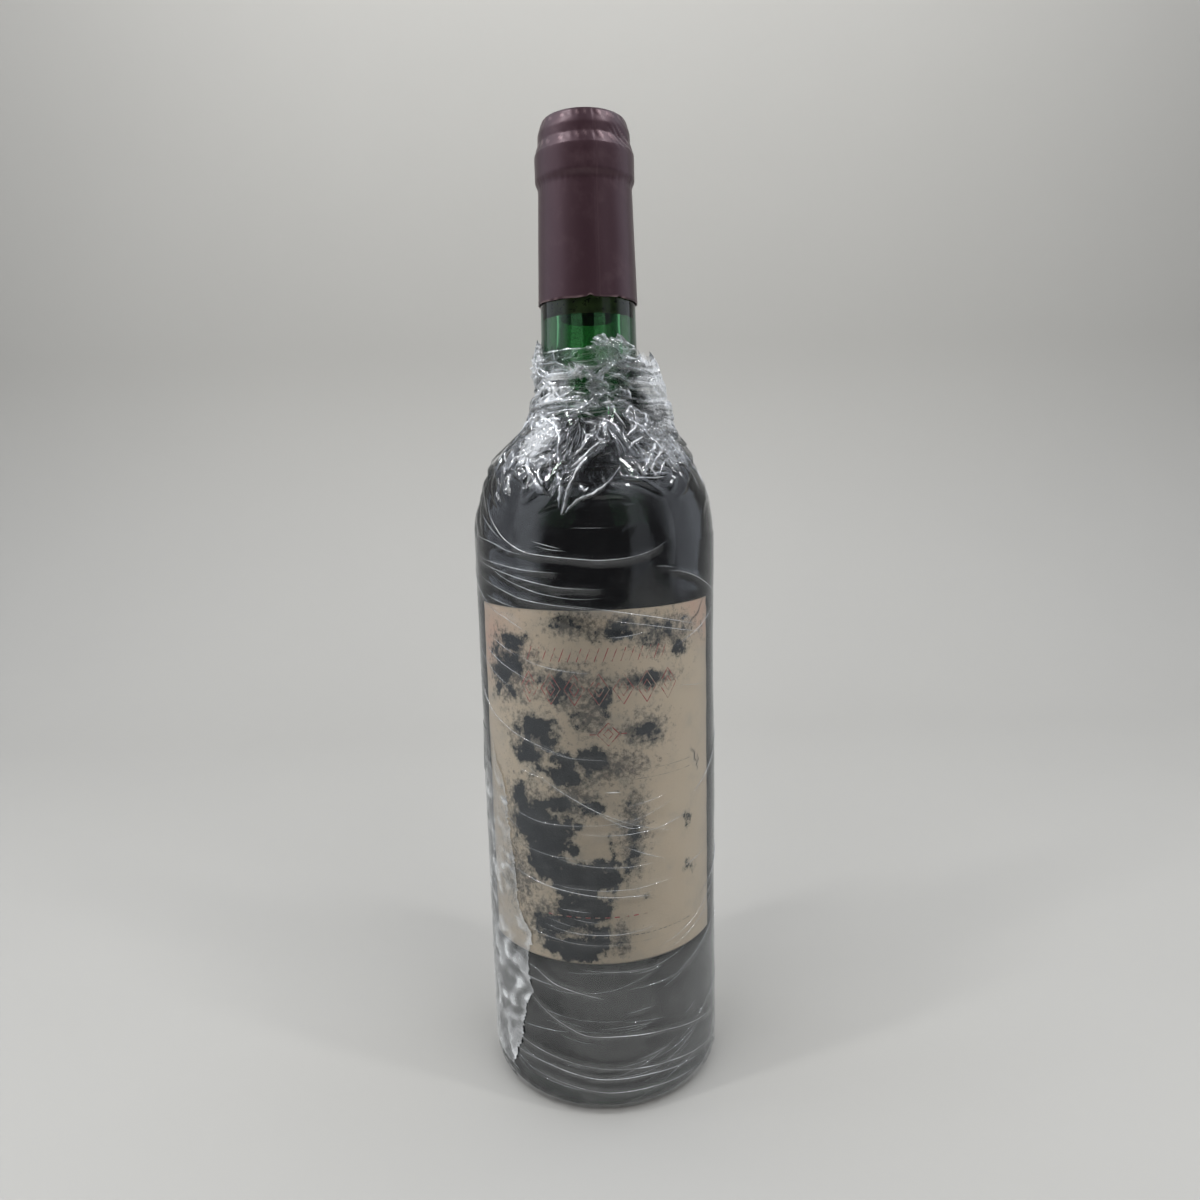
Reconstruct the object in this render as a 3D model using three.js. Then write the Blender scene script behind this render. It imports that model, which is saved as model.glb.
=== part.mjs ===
import * as THREE from 'three';
import { mergeVertices } from 'three/addons/utils/BufferGeometryUtils.js';

// A straight-shouldered 750 ml wine bottle with its cork and capsule in place,
// a paper label on the front and clinging film wrapped round it from heel to neck.
// Millimetres, +Z up. The origin is the centre of the ring that the bottle stands on,
// and the label faces -Y. A profile point is (radius, height), an angle of 0 is the
// front and angles grow towards +X.

const totalHeight = 300;
const clearance = 0.3; // between one piece and the next
const roundSteps = 56; // facets round the glass and the film
const smallSteps = 40; // facets round the capsule, cork and wine
const curveSteps = 3; // divisions of each curve in a glass profile
const filmSteps = 7; // divisions of each curve in the film's profile

const glass = {
  bodyRadius: 37.2,
  wall: 2.6,
  heelRadius: 6,
  shoulderStart: 176,
  shoulderRadius: 42,
  shoulderSweep: THREE.MathUtils.degToRad(46),
  neckStart: 226,
  neckRadius: 14.95,
  puntDepth: 18,
  puntRadius: 27.5,
  floorThickness: 4.5,
  boreRadius: 9.25,
  boreStart: 241,
};

const finish = { // the glass ring and lip under the capsule
  ringBottom: 282.2,
  ringTop: 290.1,
  ringRadius: 14.35,
  ledgeTop: 293.1,
  lipRadius: 13.2,
  bevelStart: 295.8,
  topRadius: 11.4,
};

const capsule = { bottom: 247.6, thickness: 0.3, rimRadius: 15.2, skirtTopRadius: 14.12 };
const cork = { length: 55, recess: 1.2, chamfer: 0.8 };
const wine = { level: 213 };
const label = { width: 84, height: 108, bottom: 51.3, thickness: 0.3, turn: -0.013 };

const film = {
  bottom: 4,
  bottomTuck: 0.9, // how far the lower edge draws in under the heel
  thickness: 0.4,
  shoulderPull: [33, 203], // where the loose film heads as it leaves the shoulder
  gatherRadius: 24.9,
  gatherHeight: 209.3,
  collarBottom: 222,
  collarRadius: 17.6,
  top: 234.5,
  topRadius: 16.4,
  collarRings: 5,
  edgeWave: 1.3, // how far the upper edge rises and falls
  pleatDepth: 2.1, // of the folds gathered at the neck
  bulges: [[225.5, 4.4], [215, 4.2]], // heights and depths of the loose loops on the right
};

const capsuleInset = capsule.thickness + clearance; // the glass is this far inside the foil
const finishHeight = totalHeight - capsuleInset;
const layersOnGlass = 2 * clearance + label.thickness; // from the glass to the film, over the label

function revolve(points, steps, place) {
  // Turns a closed profile into one solid. place may shift a vertex before the seam closes.
  const geometry = new THREE.LatheGeometry(points, steps);
  geometry.rotateX(Math.PI / 2);
  geometry.deleteAttribute('normal');
  geometry.deleteAttribute('uv');
  const vertices = geometry.getAttribute('position');
  const spot = new THREE.Vector3();
  for (let i = 0; place && i < vertices.count; i += 1) {
    spot.fromBufferAttribute(vertices, i);
    place(spot, i % points.length);
    vertices.setXYZ(i, spot.x, spot.y, spot.z);
  }
  return mergeVertices(geometry, 0.001);
}

function offsetOutwards(points, distance) {
  // Moves a profile that runs upwards away from the axis, square to itself.
  return points.map((point, i) => {
    const before = points[Math.max(i - 1, 0)];
    const after = points[Math.min(i + 1, points.length - 1)];
    const along = after.clone().sub(before).normalize();
    return new THREE.Vector2(point.x + along.y * distance, point.y - along.x * distance);
  });
}

function shoulderEnd(radius) {
  const centre = glass.bodyRadius - glass.shoulderRadius;
  return new THREE.Vector2(
    centre + radius * Math.cos(glass.shoulderSweep),
    glass.shoulderStart + radius * Math.sin(glass.shoulderSweep),
  );
}

function sweepToNeck(path, radius, neckRadius, neckHeight) {
  // The hollow curve from the shoulder's arc into the neck, tangent to both.
  const start = shoulderEnd(radius);
  const rise = (start.x - neckRadius) / Math.tan(glass.shoulderSweep);
  path.quadraticCurveTo(neckRadius, start.y + rise, neckRadius, neckHeight);
}

function roundShoulder(path, radius) {
  const centre = glass.bodyRadius - glass.shoulderRadius;
  path.absarc(centre, glass.shoulderStart, radius, 0, glass.shoulderSweep, false);
  return path;
}

function heelAndBody() {
  const path = new THREE.Path();
  const standRadius = glass.bodyRadius - glass.heelRadius;
  path.moveTo(0, glass.puntDepth);
  path.bezierCurveTo(13, glass.puntDepth, 19, 9, 24.5, 3);
  path.quadraticCurveTo(glass.puntRadius - 1, 0.6, glass.puntRadius, 0);
  path.lineTo(standRadius, 0);
  path.absarc(standRadius, glass.heelRadius, glass.heelRadius, -Math.PI / 2, 0, false);
  return path;
}

function neckAndFinish(path) {
  path.lineTo(capsule.rimRadius - capsuleInset, capsule.bottom);
  path.lineTo(capsule.skirtTopRadius - capsuleInset, finish.ringBottom - 1.4);
  path.lineTo(finish.ringRadius, finish.ringBottom);
  path.lineTo(finish.ringRadius, finish.ringTop);
  path.lineTo(finish.lipRadius + 0.1, finish.ledgeTop);
  path.lineTo(finish.lipRadius, finish.bevelStart);
  path.lineTo(finish.lipRadius - 1, finishHeight - 0.8);
  path.quadraticCurveTo(finish.lipRadius - 1.2, finishHeight, finish.topRadius, finishHeight);
  return path;
}

function innerWall() {
  // Runs upwards from the axis on the bottle's floor to the mouth.
  const radius = glass.bodyRadius - glass.wall;
  const floor = glass.puntDepth + glass.floorThickness;
  const path = new THREE.Path();
  path.moveTo(0, floor);
  path.bezierCurveTo(14, floor, 19, 12, 25, 7);
  path.quadraticCurveTo(27.5, 4.6, 29.5, 5.2);
  path.quadraticCurveTo(radius, 6.4, radius, 13);
  roundShoulder(path, glass.shoulderRadius - glass.wall);
  sweepToNeck(path, glass.shoulderRadius - glass.wall, 10.4, 231);
  path.lineTo(glass.boreRadius, glass.boreStart);
  path.lineTo(glass.boreRadius, finishHeight - 1);
  path.lineTo(glass.boreRadius + 0.5, finishHeight);
  return path.getPoints(curveSteps);
}

function outerWall() {
  const path = heelAndBody();
  roundShoulder(path, glass.shoulderRadius);
  sweepToNeck(path, glass.shoulderRadius, glass.neckRadius, glass.neckStart);
  return neckAndFinish(path).getPoints(curveSteps);
}

function makeBottle() {
  return revolve([...outerWall(), ...innerWall().reverse()], roundSteps);
}

function makeWine() {
  const inside = offsetOutwards(innerWall(), -clearance);
  inside[0].x = 0;
  const above = inside.findIndex((point) => point.y > wine.level);
  const [below, over] = [inside[above - 1], inside[above]];
  const edge = below.clone().lerp(over, (wine.level - below.y) / (over.y - below.y));
  return revolve([...inside.slice(0, above), edge, new THREE.Vector2(0, wine.level)], smallSteps);
}

function makeCork() {
  const radius = glass.boreRadius - clearance;
  const top = finishHeight - cork.recess;
  const bottom = top - cork.length;
  return revolve([
    new THREE.Vector2(0, bottom),
    new THREE.Vector2(radius - cork.chamfer, bottom),
    new THREE.Vector2(radius, bottom + cork.chamfer),
    new THREE.Vector2(radius, top - cork.chamfer),
    new THREE.Vector2(radius - cork.chamfer, top),
    new THREE.Vector2(0, top),
  ], smallSteps);
}

function makeCapsule() {
  // The foil follows the neck and the finish, one clearance outside the glass.
  const neck = outerWall().filter((point) => point.y >= capsule.bottom - 0.01);
  const inner = offsetOutwards(neck, clearance);
  const outer = offsetOutwards(neck, capsuleInset);
  inner[0].y = capsule.bottom;
  outer[0].y = capsule.bottom;
  const insideTop = new THREE.Vector2(0, totalHeight - capsule.thickness);
  const outsideTop = new THREE.Vector2(0, totalHeight);
  return revolve([insideTop, ...inner.reverse(), ...outer, outsideTop], smallSteps);
}

function makeLabel() {
  const inner = glass.bodyRadius + clearance;
  const outer = inner + label.thickness;
  const half = label.width / inner / 2;
  const front = -Math.PI / 2 + label.turn;
  const sheet = new THREE.Shape();
  sheet.absarc(0, 0, outer, front - half, front + half, false);
  sheet.absarc(0, 0, inner, front + half, front - half, true);
  const geometry = new THREE.ExtrudeGeometry(sheet, {
    depth: label.height, bevelEnabled: false, curveSegments: 30,
  });
  geometry.translate(0, 0, label.bottom);
  return geometry;
}

function near(value, centre, spread) {
  return Math.exp(-(((value - centre) / spread) ** 2));
}

function filmFold(angle, height) {
  // Sharp pleats that start on the shoulder and deepen towards the neck, and the
  // loops that the gathered film makes on the right.
  const gathered = THREE.MathUtils.smoothstep(height, 178, 212);
  const wide = Math.abs(Math.sin(3.5 * angle + 0.02 * height));
  const narrow = Math.abs(Math.sin(8 * angle - 0.11 * height + 1.1));
  const fine = Math.sin(13 * angle + 0.3 * height);
  const pleats = gathered * film.pleatDepth * (0.55 * wide + 0.5 * narrow + 0.2 * fine - 0.35);
  const loops = film.bulges.map(([centre, depth]) => depth * near(height, centre, 4));
  return pleats + near(angle, 1.5, 0.7) * loops.reduce((sum, loop) => sum + loop, 0);
}

function filmEdge(angle) {
  const slow = 0.6 * Math.sin(2 * angle + 0.6);
  const quick = 0.4 * Math.sin(5 * angle) + 0.3 * Math.sin(9 * angle);
  return film.edgeWave * (slow + quick);
}

function filmInside() {
  // One clearance outside the glass, and outside the label on the body.
  const onBottle = outerWall().filter((point) => point.y > film.bottom && point.y < film.top - 2);
  const outsidePunt = onBottle.filter((point) => point.x > glass.puntRadius || point.y > glass.shoulderStart);
  return offsetOutwards(outsidePunt, clearance).map((point) => {
    const overLabel = 1 - THREE.MathUtils.smoothstep(point.y, 178, 200);
    return new THREE.Vector2(point.x + (layersOnGlass - clearance) * overLabel, point.y);
  });
}

function filmOutside() {
  const radius = glass.bodyRadius + layersOnGlass + film.thickness;
  const collarCurve = [19.3, 213]; // between the gathered shoulder and the collar
  const path = new THREE.Path();
  path.moveTo(radius - film.bottomTuck, film.bottom + 0.4);
  path.lineTo(radius, 9);
  path.lineTo(radius, glass.shoulderStart);
  path.bezierCurveTo(radius, 190, ...film.shoulderPull, film.gatherRadius, film.gatherHeight);
  path.quadraticCurveTo(...collarCurve, film.collarRadius, film.collarBottom);
  for (let i = 1; i <= film.collarRings; i += 1) {
    const part = i / film.collarRings;
    const ringRadius = THREE.MathUtils.lerp(film.collarRadius, film.topRadius, part ** 2);
    path.lineTo(ringRadius, THREE.MathUtils.lerp(film.collarBottom, film.top, part));
  }
  return path.getPoints(filmSteps);
}

function makeFilm() {
  const inside = filmInside().reverse();
  const outside = filmOutside();
  return revolve([...inside, ...outside, inside[0]], roundSteps, (spot, profileIndex) => {
    const angle = Math.atan2(spot.x, -spot.y);
    const isOutside = profileIndex >= inside.length && profileIndex < inside.length + outside.length;
    const radius = Math.hypot(spot.x, spot.y);
    const pushed = radius + (isOutside ? filmFold(angle, spot.z) : 0);
    spot.x *= pushed / radius;
    spot.y *= pushed / radius;
    spot.z += THREE.MathUtils.smoothstep(spot.z, film.top - 7, film.top) * filmEdge(angle);
  });
}

function makePart(name, geometry, look) {
  const mesh = new THREE.Mesh(geometry, new THREE.MeshStandardMaterial(look));
  mesh.name = name;
  return mesh;
}

const wrappedBottle = new THREE.Group();
wrappedBottle.add(
  makePart('glass_bottle', makeBottle(), { color: 0x16351f, roughness: 0.08, metalness: 0 }),
  makePart('wine', makeWine(), { color: 0x22060c, roughness: 0.1, metalness: 0 }),
  makePart('cork', makeCork(), { color: 0x8a6a48, roughness: 0.9, metalness: 0 }),
  makePart('capsule', makeCapsule(), { color: 0x4b2732, roughness: 0.42, metalness: 0.1 }),
  makePart('label', makeLabel(), { color: 0xb0a68f, roughness: 0.8, metalness: 0 }),
  makePart('film', makeFilm(), { color: 0xd8dde0, roughness: 0.15, metalness: 0 }),
);

export default wrappedBottle;
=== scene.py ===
# A corked wine bottle in clinging film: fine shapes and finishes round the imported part
import bpy
import bmesh
import math
import numpy as np
from mathutils import Matrix, Vector


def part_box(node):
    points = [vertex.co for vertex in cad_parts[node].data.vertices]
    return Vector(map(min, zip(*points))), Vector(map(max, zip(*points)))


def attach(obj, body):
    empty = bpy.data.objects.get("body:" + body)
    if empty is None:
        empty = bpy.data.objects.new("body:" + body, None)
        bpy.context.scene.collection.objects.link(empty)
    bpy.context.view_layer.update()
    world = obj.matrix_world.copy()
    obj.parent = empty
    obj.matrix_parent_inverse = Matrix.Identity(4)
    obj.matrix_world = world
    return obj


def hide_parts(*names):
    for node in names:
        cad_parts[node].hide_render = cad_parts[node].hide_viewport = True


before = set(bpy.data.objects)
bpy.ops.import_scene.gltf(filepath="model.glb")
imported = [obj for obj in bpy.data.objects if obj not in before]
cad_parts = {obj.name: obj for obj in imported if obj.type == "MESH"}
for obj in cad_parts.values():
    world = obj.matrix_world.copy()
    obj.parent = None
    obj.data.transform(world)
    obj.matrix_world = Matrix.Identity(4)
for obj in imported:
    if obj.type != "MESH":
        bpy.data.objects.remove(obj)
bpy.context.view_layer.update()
mm = 0.001
print("frame loaded:", ", ".join(sorted(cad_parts)))


# Sizes in millimetres. Angles run from the front (-Y) towards +X.

def boxOf(node):
    low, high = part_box(node)
    return np.array(low) / mm, np.array(high) / mm


glassLow, glassHigh = boxOf("glass_bottle")
capsuleLow, capsuleHigh = boxOf("capsule")
labelLow, labelHigh = boxOf("label")
wineHigh = boxOf("wine")[1]
corkLow, corkHigh = boxOf("cork")

bottle = {
    "radius": (glassHigh[0] - glassLow[0]) / 2,
    "top": glassHigh[2],
    "wall": 2.6,
    "heel": 6.0,
    "shoulderStart": 176.0,
    "shoulderRadius": 42.0,
    "shoulderSweep": math.radians(46),
    "neckStart": 226.0,
    "neckRadius": 14.95,
    "puntDepth": 18.0,
    "puntRadius": 27.5,
    "floor": 4.5,
    "bore": 9.25,
    "boreStart": 241.0,
    "ripple": 0.035,  # how far the blown wall wanders from true
    "turns": 224,
}


def arc(centreR, centreZ, radius, start, end, steps):
    turn = np.linspace(start, end, steps)
    return np.stack([centreR + radius * np.cos(turn), centreZ + radius * np.sin(turn)], 1)


def bezier(controls, steps):
    t = np.linspace(0, 1, steps)[:, None]
    points = [np.array(c, float)[None] * np.ones_like(t) for c in controls]
    while len(points) > 1:
        points = [a + (b - a) * t for a, b in zip(points, points[1:])]
    return points[0]


def line(*corners, gap=2.0):
    # points along straight runs, no further apart than gap
    out = [np.array(corners[0], float)[None]]
    for a, b in zip(corners, corners[1:]):
        a, b = np.array(a, float), np.array(b, float)
        steps = max(1, int(np.hypot(*(b - a)) / gap))
        out.append(a + (b - a) * np.linspace(0, 1, steps + 1)[1:, None])
    return np.concatenate(out)


def shoulderAndNeck(inset, neckRadius, neckHeight, steps):
    centre = bottle["radius"] - bottle["shoulderRadius"]
    radius = bottle["shoulderRadius"] - inset
    sweep = bottle["shoulderSweep"]
    shoulder = arc(centre, bottle["shoulderStart"], radius, 0, sweep, steps)
    start = shoulder[-1]
    meet = [neckRadius, start[1] + (start[0] - neckRadius) / math.tan(sweep)]
    return np.concatenate([shoulder, bezier([start, meet, [neckRadius, neckHeight]], steps)[1:]])


def outsideProfile():
    stand = bottle["radius"] - bottle["heel"]
    punt = bezier([[0, bottle["puntDepth"]], [13, bottle["puntDepth"]], [19, 9], [24.5, 3]], 16)
    lip = bezier([[24.5, 3], [bottle["puntRadius"] - 1, 0.6], [bottle["puntRadius"], 0]], 6)
    heel = arc(stand, bottle["heel"], bottle["heel"], -math.pi / 2, 0, 12)
    radius, top = bottle["radius"], bottle["top"]
    body = line([radius, bottle["heel"]], [radius, bottle["shoulderStart"]], gap=4)
    neck = shoulderAndNeck(0, bottle["neckRadius"], bottle["neckStart"], 26)
    foot = capsule["rimRadius"] - capsule["inset"]
    throat = capsule["skirtRadius"] - capsule["inset"]
    finish = line([bottle["neckRadius"], bottle["neckStart"]], [foot, capsuleLow[2]],
                  [throat, 280.8], [14.35, 282.2], [14.35, 290.1], [13.3, 293.1], [13.2, 295.8],
                  [12.2, top - 0.8], gap=3)
    mouth = bezier([[12.2, top - 0.8], [12, top], [11.4, top]], 5)
    return np.concatenate([punt, lip[1:], heel, body[1:], neck[1:], finish[1:], mouth[1:]])


def insideProfile():
    # upwards from the floor's middle to the mouth
    radius = bottle["radius"] - bottle["wall"]
    floor = bottle["puntDepth"] + bottle["floor"]
    dome = bezier([[0, floor], [14, floor], [19, 12], [25, 7]], 14)
    gutter = bezier([[25, 7], [27.5, 4.6], [29.5, 5.2]], 6)
    corner = bezier([[29.5, 5.2], [radius, 6.4], [radius, 13]], 8)
    wall = line([radius, 13], [radius, bottle["shoulderStart"]], gap=6)
    neck = shoulderAndNeck(bottle["wall"], 10.4, 231, 22)
    narrow, top = bottle["bore"], bottle["top"]
    bore = line([10.4, 231], [narrow, bottle["boreStart"]], [narrow, top - 1],
                [narrow + 0.5, top], gap=5)
    return np.concatenate([dome, gutter[1:], corner[1:], wall[1:], neck[1:], bore[1:]])


capsule = {
    "rimRadius": (capsuleHigh[0] - capsuleLow[0]) / 2,
    "skirtRadius": 14.12,
    "inset": 0.6,  # from the foil's outside to the glass
    "foil": 0.25,
    "seamDepth": 0.07,
    "seamAngle": math.radians(13),
    "crimpDepth": 0.07,
    "wrinkles": 0.09,
    "dentDepth": 0.7,
    "dentAngle": math.radians(52),
    "dentHeight": 292.8,
    "turns": 256,
}

label = {
    "width": 84.0,
    "low": labelLow[2],
    "high": labelHigh[2],
    "turn": -0.013,
    "inner": 37.3,
    "outer": 37.55,
    "relief": 0.03,
    "slitWidth": 0.28,
    "columns": 150,
    "rows": 210,
}


# Mesh makers

def gridFaces(rows, columns, wrap):
    wide = columns if wrap else columns - 1
    row, column = np.meshgrid(np.arange(rows - 1), np.arange(wide), indexing="ij")
    after = (column + 1) % columns
    corners = [row * columns + column, row * columns + after, (row + 1) * columns + after,
               (row + 1) * columns + column]
    return np.stack(corners, -1).reshape(-1, 4)


def meshFrom(name, points, faces, values=None):
    mesh = bpy.data.meshes.new(name)
    corners = np.asarray(points).reshape(-1, 3) * mm
    mesh.from_pydata(corners.tolist(), [], np.asarray(faces).tolist())
    for key, numbers in (values or {}).items():
        layer = mesh.attributes.new(key, "FLOAT", "POINT")
        layer.data.foreach_set("value", np.asarray(numbers, np.float32).ravel())
    mesh.polygons.foreach_set("use_smooth", [True] * len(mesh.polygons))
    mesh.update()
    return mesh


def closeUp(mesh):
    # merges the rings that shrink to a point and turns every face outwards
    work = bmesh.new()
    work.from_mesh(mesh)
    bmesh.ops.remove_doubles(work, verts=work.verts, dist=0.001 * mm)
    bmesh.ops.recalc_face_normals(work, faces=work.faces)
    work.to_mesh(mesh)
    work.free()
    return mesh


def aroundAxis(radius, angle, height):
    height = height * np.ones_like(angle)
    return np.stack([radius * np.sin(angle), -radius * np.cos(angle), height], -1)


def turned(profile, turns):
    # rows of points round the axis, one row for each point of the profile
    angle = np.linspace(0, 2 * np.pi, turns, endpoint=False)[None, :]
    return profile[:, :1], angle, profile[:, 1:] + 0 * angle


def newObject(name, data):
    made = bpy.data.objects.new(name, data)
    bpy.context.scene.collection.objects.link(made)
    return made


def place(name, mesh, material, replaced):
    piece = newObject(name, mesh)
    mesh.materials.clear()
    mesh.materials.append(material)
    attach(piece, "root")
    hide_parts(replaced)
    return piece


def smoothStep(value, low, high):
    t = np.clip((value - low) / (high - low), 0, 1)
    return t * t * (3 - 2 * t)


def bump(value, centre, spread):
    return np.exp(-(((value - centre) / spread) ** 2))


def signedDegrees(angle):
    # from the front, -180 to 180
    return (np.degrees(angle) + 180) % 360 - 180


def blurred(field, times):
    for _ in range(times):
        for axis in (0, 1):
            field = (field + np.roll(field, 1, axis) + np.roll(field, -1, axis)) / 3
    return field


# Material makers

def newMaterial(name):
    material = bpy.data.materials.new(name)
    material.use_nodes = True
    tree = material.node_tree
    tree.nodes.clear()
    output = tree.nodes.new("ShaderNodeOutputMaterial")
    shader = tree.nodes.new("ShaderNodeBsdfPrincipled")
    tree.links.new(shader.outputs["BSDF"], output.inputs["Surface"])
    return material, tree, shader


def put(tree, kind, inputs=None, **settings):
    # one node with its settings; an input may be a value or a socket to link from
    node = tree.nodes.new(kind)
    for key, value in settings.items():
        setattr(node, key, value)
    for key, value in (inputs or {}).items():
        if isinstance(value, bpy.types.NodeSocket):
            tree.links.new(value, node.inputs[key])
        else:
            node.inputs[key].default_value = value
    return node


def math2(tree, operation, first, second=0.0, third=0.0, clamp=False):
    return put(tree, "ShaderNodeMath", {0: first, 1: second, 2: third}, operation=operation,
               use_clamp=clamp).outputs[0]


def mixColour(tree, factor, first, second, blend="MIX"):
    node = put(tree, "ShaderNodeMix", {"Factor": factor}, data_type="RGBA", blend_type=blend)
    for key, value in ((6, first), (7, second)):
        if isinstance(value, bpy.types.NodeSocket):
            tree.links.new(value, node.inputs[key])
        else:
            node.inputs[key].default_value = value
    return node.outputs[2]


def ramp(tree, value, low, high, start=0.0, end=1.0, kind="SMOOTHSTEP"):
    # carries low..high over to start..end and holds it there
    return put(tree, "ShaderNodeMapRange", {"Value": value, "From Min": low, "From Max": high,
                                            "To Min": start, "To Max": end},
               interpolation_type=kind).outputs[0]


def noise(tree, vector, scale, detail, roughness=0.5):
    return put(tree, "ShaderNodeTexNoise", {"Vector": vector, "Scale": scale, "Detail": detail,
                                            "Roughness": roughness}).outputs["Fac"]


def objectSpace(tree):
    return put(tree, "ShaderNodeTexCoord").outputs["Object"]


def readAttribute(tree, name):
    return put(tree, "ShaderNodeAttribute", attribute_name=name).outputs["Fac"]


def newGroup(name, inputs, outputs):
    group = bpy.data.node_groups.new(name, "ShaderNodeTree")
    for key, kind, value in inputs:
        socket = group.interface.new_socket(key, in_out="INPUT", socket_type=kind)
        if value is not None:
            socket.default_value = value
    for key, kind in outputs:
        group.interface.new_socket(key, in_out="OUTPUT", socket_type=kind)
    return group, put(group, "NodeGroupInput"), put(group, "NodeGroupOutput")


def makeSpotsGroup():
    # ragged spots: stains, dust, rubbed places
    group, given, result = newGroup("raggedSpots", [
        ("Vector", "NodeSocketVector", None), ("Scale", "NodeSocketFloat", 100.0),
        ("Low", "NodeSocketFloat", 0.5), ("High", "NodeSocketFloat", 0.6),
        ("Roughness", "NodeSocketFloat", 0.6)], [("Mask", "NodeSocketFloat")])
    wanted = given.outputs
    cloud = noise(group, wanted["Vector"], wanted["Scale"], 6.0, wanted["Roughness"])
    mask = ramp(group, cloud, wanted["Low"], wanted["High"])
    group.links.new(mask, result.inputs["Mask"])
    return group


def makeGrainGroup():
    # fine grain as a height: broad waver plus a fine tooth
    group, given, result = newGroup("fineGrain", [
        ("Vector", "NodeSocketVector", None), ("Scale", "NodeSocketFloat", 400.0),
        ("Waver", "NodeSocketFloat", 0.5)], [("Height", "NodeSocketFloat")])
    fine = noise(group, given.outputs["Vector"], given.outputs["Scale"], 4.0)
    broadScale = math2(group, "MULTIPLY", given.outputs["Scale"], 0.07)
    broad = noise(group, given.outputs["Vector"], broadScale, 3.0)
    height = math2(group, "MULTIPLY_ADD", broad, given.outputs["Waver"], fine)
    group.links.new(height, result.inputs["Height"])
    return group


spotsGroup = makeSpotsGroup()
grainGroup = makeGrainGroup()


def spots(tree, vector, scale, low, high, roughness=0.6):
    node = put(tree, "ShaderNodeGroup", node_tree=spotsGroup)
    tree.links.new(vector, node.inputs["Vector"])
    for key, value in (("Scale", scale), ("Low", low), ("High", high), ("Roughness", roughness)):
        node.inputs[key].default_value = value
    return node.outputs["Mask"]


def grain(tree, vector, scale, waver=0.5):
    node = put(tree, "ShaderNodeGroup", node_tree=grainGroup)
    tree.links.new(vector, node.inputs["Vector"])
    node.inputs["Scale"].default_value = scale
    node.inputs["Waver"].default_value = waver
    return node.outputs["Height"]


def setBump(tree, shader, height, strength, distance):
    node = put(tree, "ShaderNodeBump", {"Height": height, "Strength": strength,
                                        "Distance": distance})
    tree.links.new(node.outputs["Normal"], shader.inputs["Normal"])


# Fine threads by Geometry Nodes

def newShapeTree(name, inputs):
    # a node tree from geometry to geometry, with the keys of its other inputs
    tree = bpy.data.node_groups.new(name, "GeometryNodeTree")
    tree.interface.new_socket("Geometry", in_out="INPUT", socket_type="NodeSocketGeometry")
    keys = [tree.interface.new_socket(key, in_out="INPUT", socket_type=kind).identifier
            for key, kind in inputs]
    tree.interface.new_socket("Geometry", in_out="OUTPUT", socket_type="NodeSocketGeometry")
    return tree, keys, put(tree, "NodeGroupInput").outputs, put(tree, "NodeGroupOutput")


def dress(tree, shape, material, result):
    real = put(tree, "GeometryNodeRealizeInstances", {"Geometry": shape})
    dressed = put(tree, "GeometryNodeSetMaterial", {"Geometry": real.outputs[0],
                                                    "Material": material})
    tree.links.new(dressed.outputs[0], result.inputs["Geometry"])


def tube(tree, curve, sides, radius):
    ring = put(tree, "GeometryNodeCurvePrimitiveCircle", {"Radius": 1.0, "Resolution": sides})
    return put(tree, "GeometryNodeCurveToMesh", {"Curve": curve, "Profile Curve": ring.outputs[0],
                                                 "Scale": radius, "Fill Caps": True}).outputs[0]


def namedValue(tree, name):
    node = put(tree, "GeometryNodeInputNamedAttribute", {"Name": name}, data_type="FLOAT")
    return node.outputs[0]


def threadTree():
    # turns drawn lines into fine threads: creases of film, raised ink
    tree, keys, given, result = newShapeTree("threads", [
        ("Thickness", "NodeSocketFloat"), ("Sides", "NodeSocketInt"),
        ("Material", "NodeSocketMaterial")])
    curve = put(tree, "GeometryNodeMeshToCurve", {"Mesh": given["Geometry"]}).outputs[0]
    radius = math2(tree, "MULTIPLY", namedValue(tree, "width"), given["Thickness"])
    dress(tree, tube(tree, curve, given["Sides"], radius), given["Material"], result)
    return tree, keys


def bakeNodes(name, mesh, tree, values):
    # evaluates the node tree on a helper object and keeps the plain mesh
    helper = newObject(name + "Lines", mesh)
    modifier = helper.modifiers.new("nodes", "NODES")
    modifier.node_group = tree
    for key, value in values.items():
        modifier[key] = value
    depsgraph = bpy.context.evaluated_depsgraph_get()
    result = bpy.data.meshes.new_from_object(helper.evaluated_get(depsgraph))
    bpy.data.objects.remove(helper)
    result.name = name
    return result


threadNodes = threadTree()


def threads(name, lines, thickness, sides, material, key):
    # each line is its points, its width at each point and the value kept there as an attribute
    points, edges, widths, marks = [], [], [], []
    for path, width, mark in lines:
        first = len(points)
        points.extend(np.asarray(path).tolist())
        edges.extend((first + k, first + k + 1) for k in range(len(path) - 1))
        widths.extend(np.broadcast_to(width, len(path)).tolist())
        marks.extend(np.broadcast_to(mark, len(path)).tolist())
    mesh = bpy.data.meshes.new(name + "Lines")
    mesh.from_pydata((np.array(points) * mm).tolist(), edges, [])
    for attribute, numbers in (("width", widths), (key, marks)):
        mesh.attributes.new(attribute, "FLOAT", "POINT").data.foreach_set("value", numbers)
    tree, keys = threadNodes
    return bakeNodes(name, mesh, tree, dict(zip(keys, (thickness * mm, sides, material))))


# Glass, wine and cork

glassLook = {
    "edge": (0.015, 0.03, 0.025, 1), "colour": (0.13, 0.37, 0.17, 1), "deep": (0.09, 0.31, 0.12, 1),
    "edgeFrom": (0.12, 0.6), "roughness": 0.025, "dusty": 0.12, "bends": 1.47,
}


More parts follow.
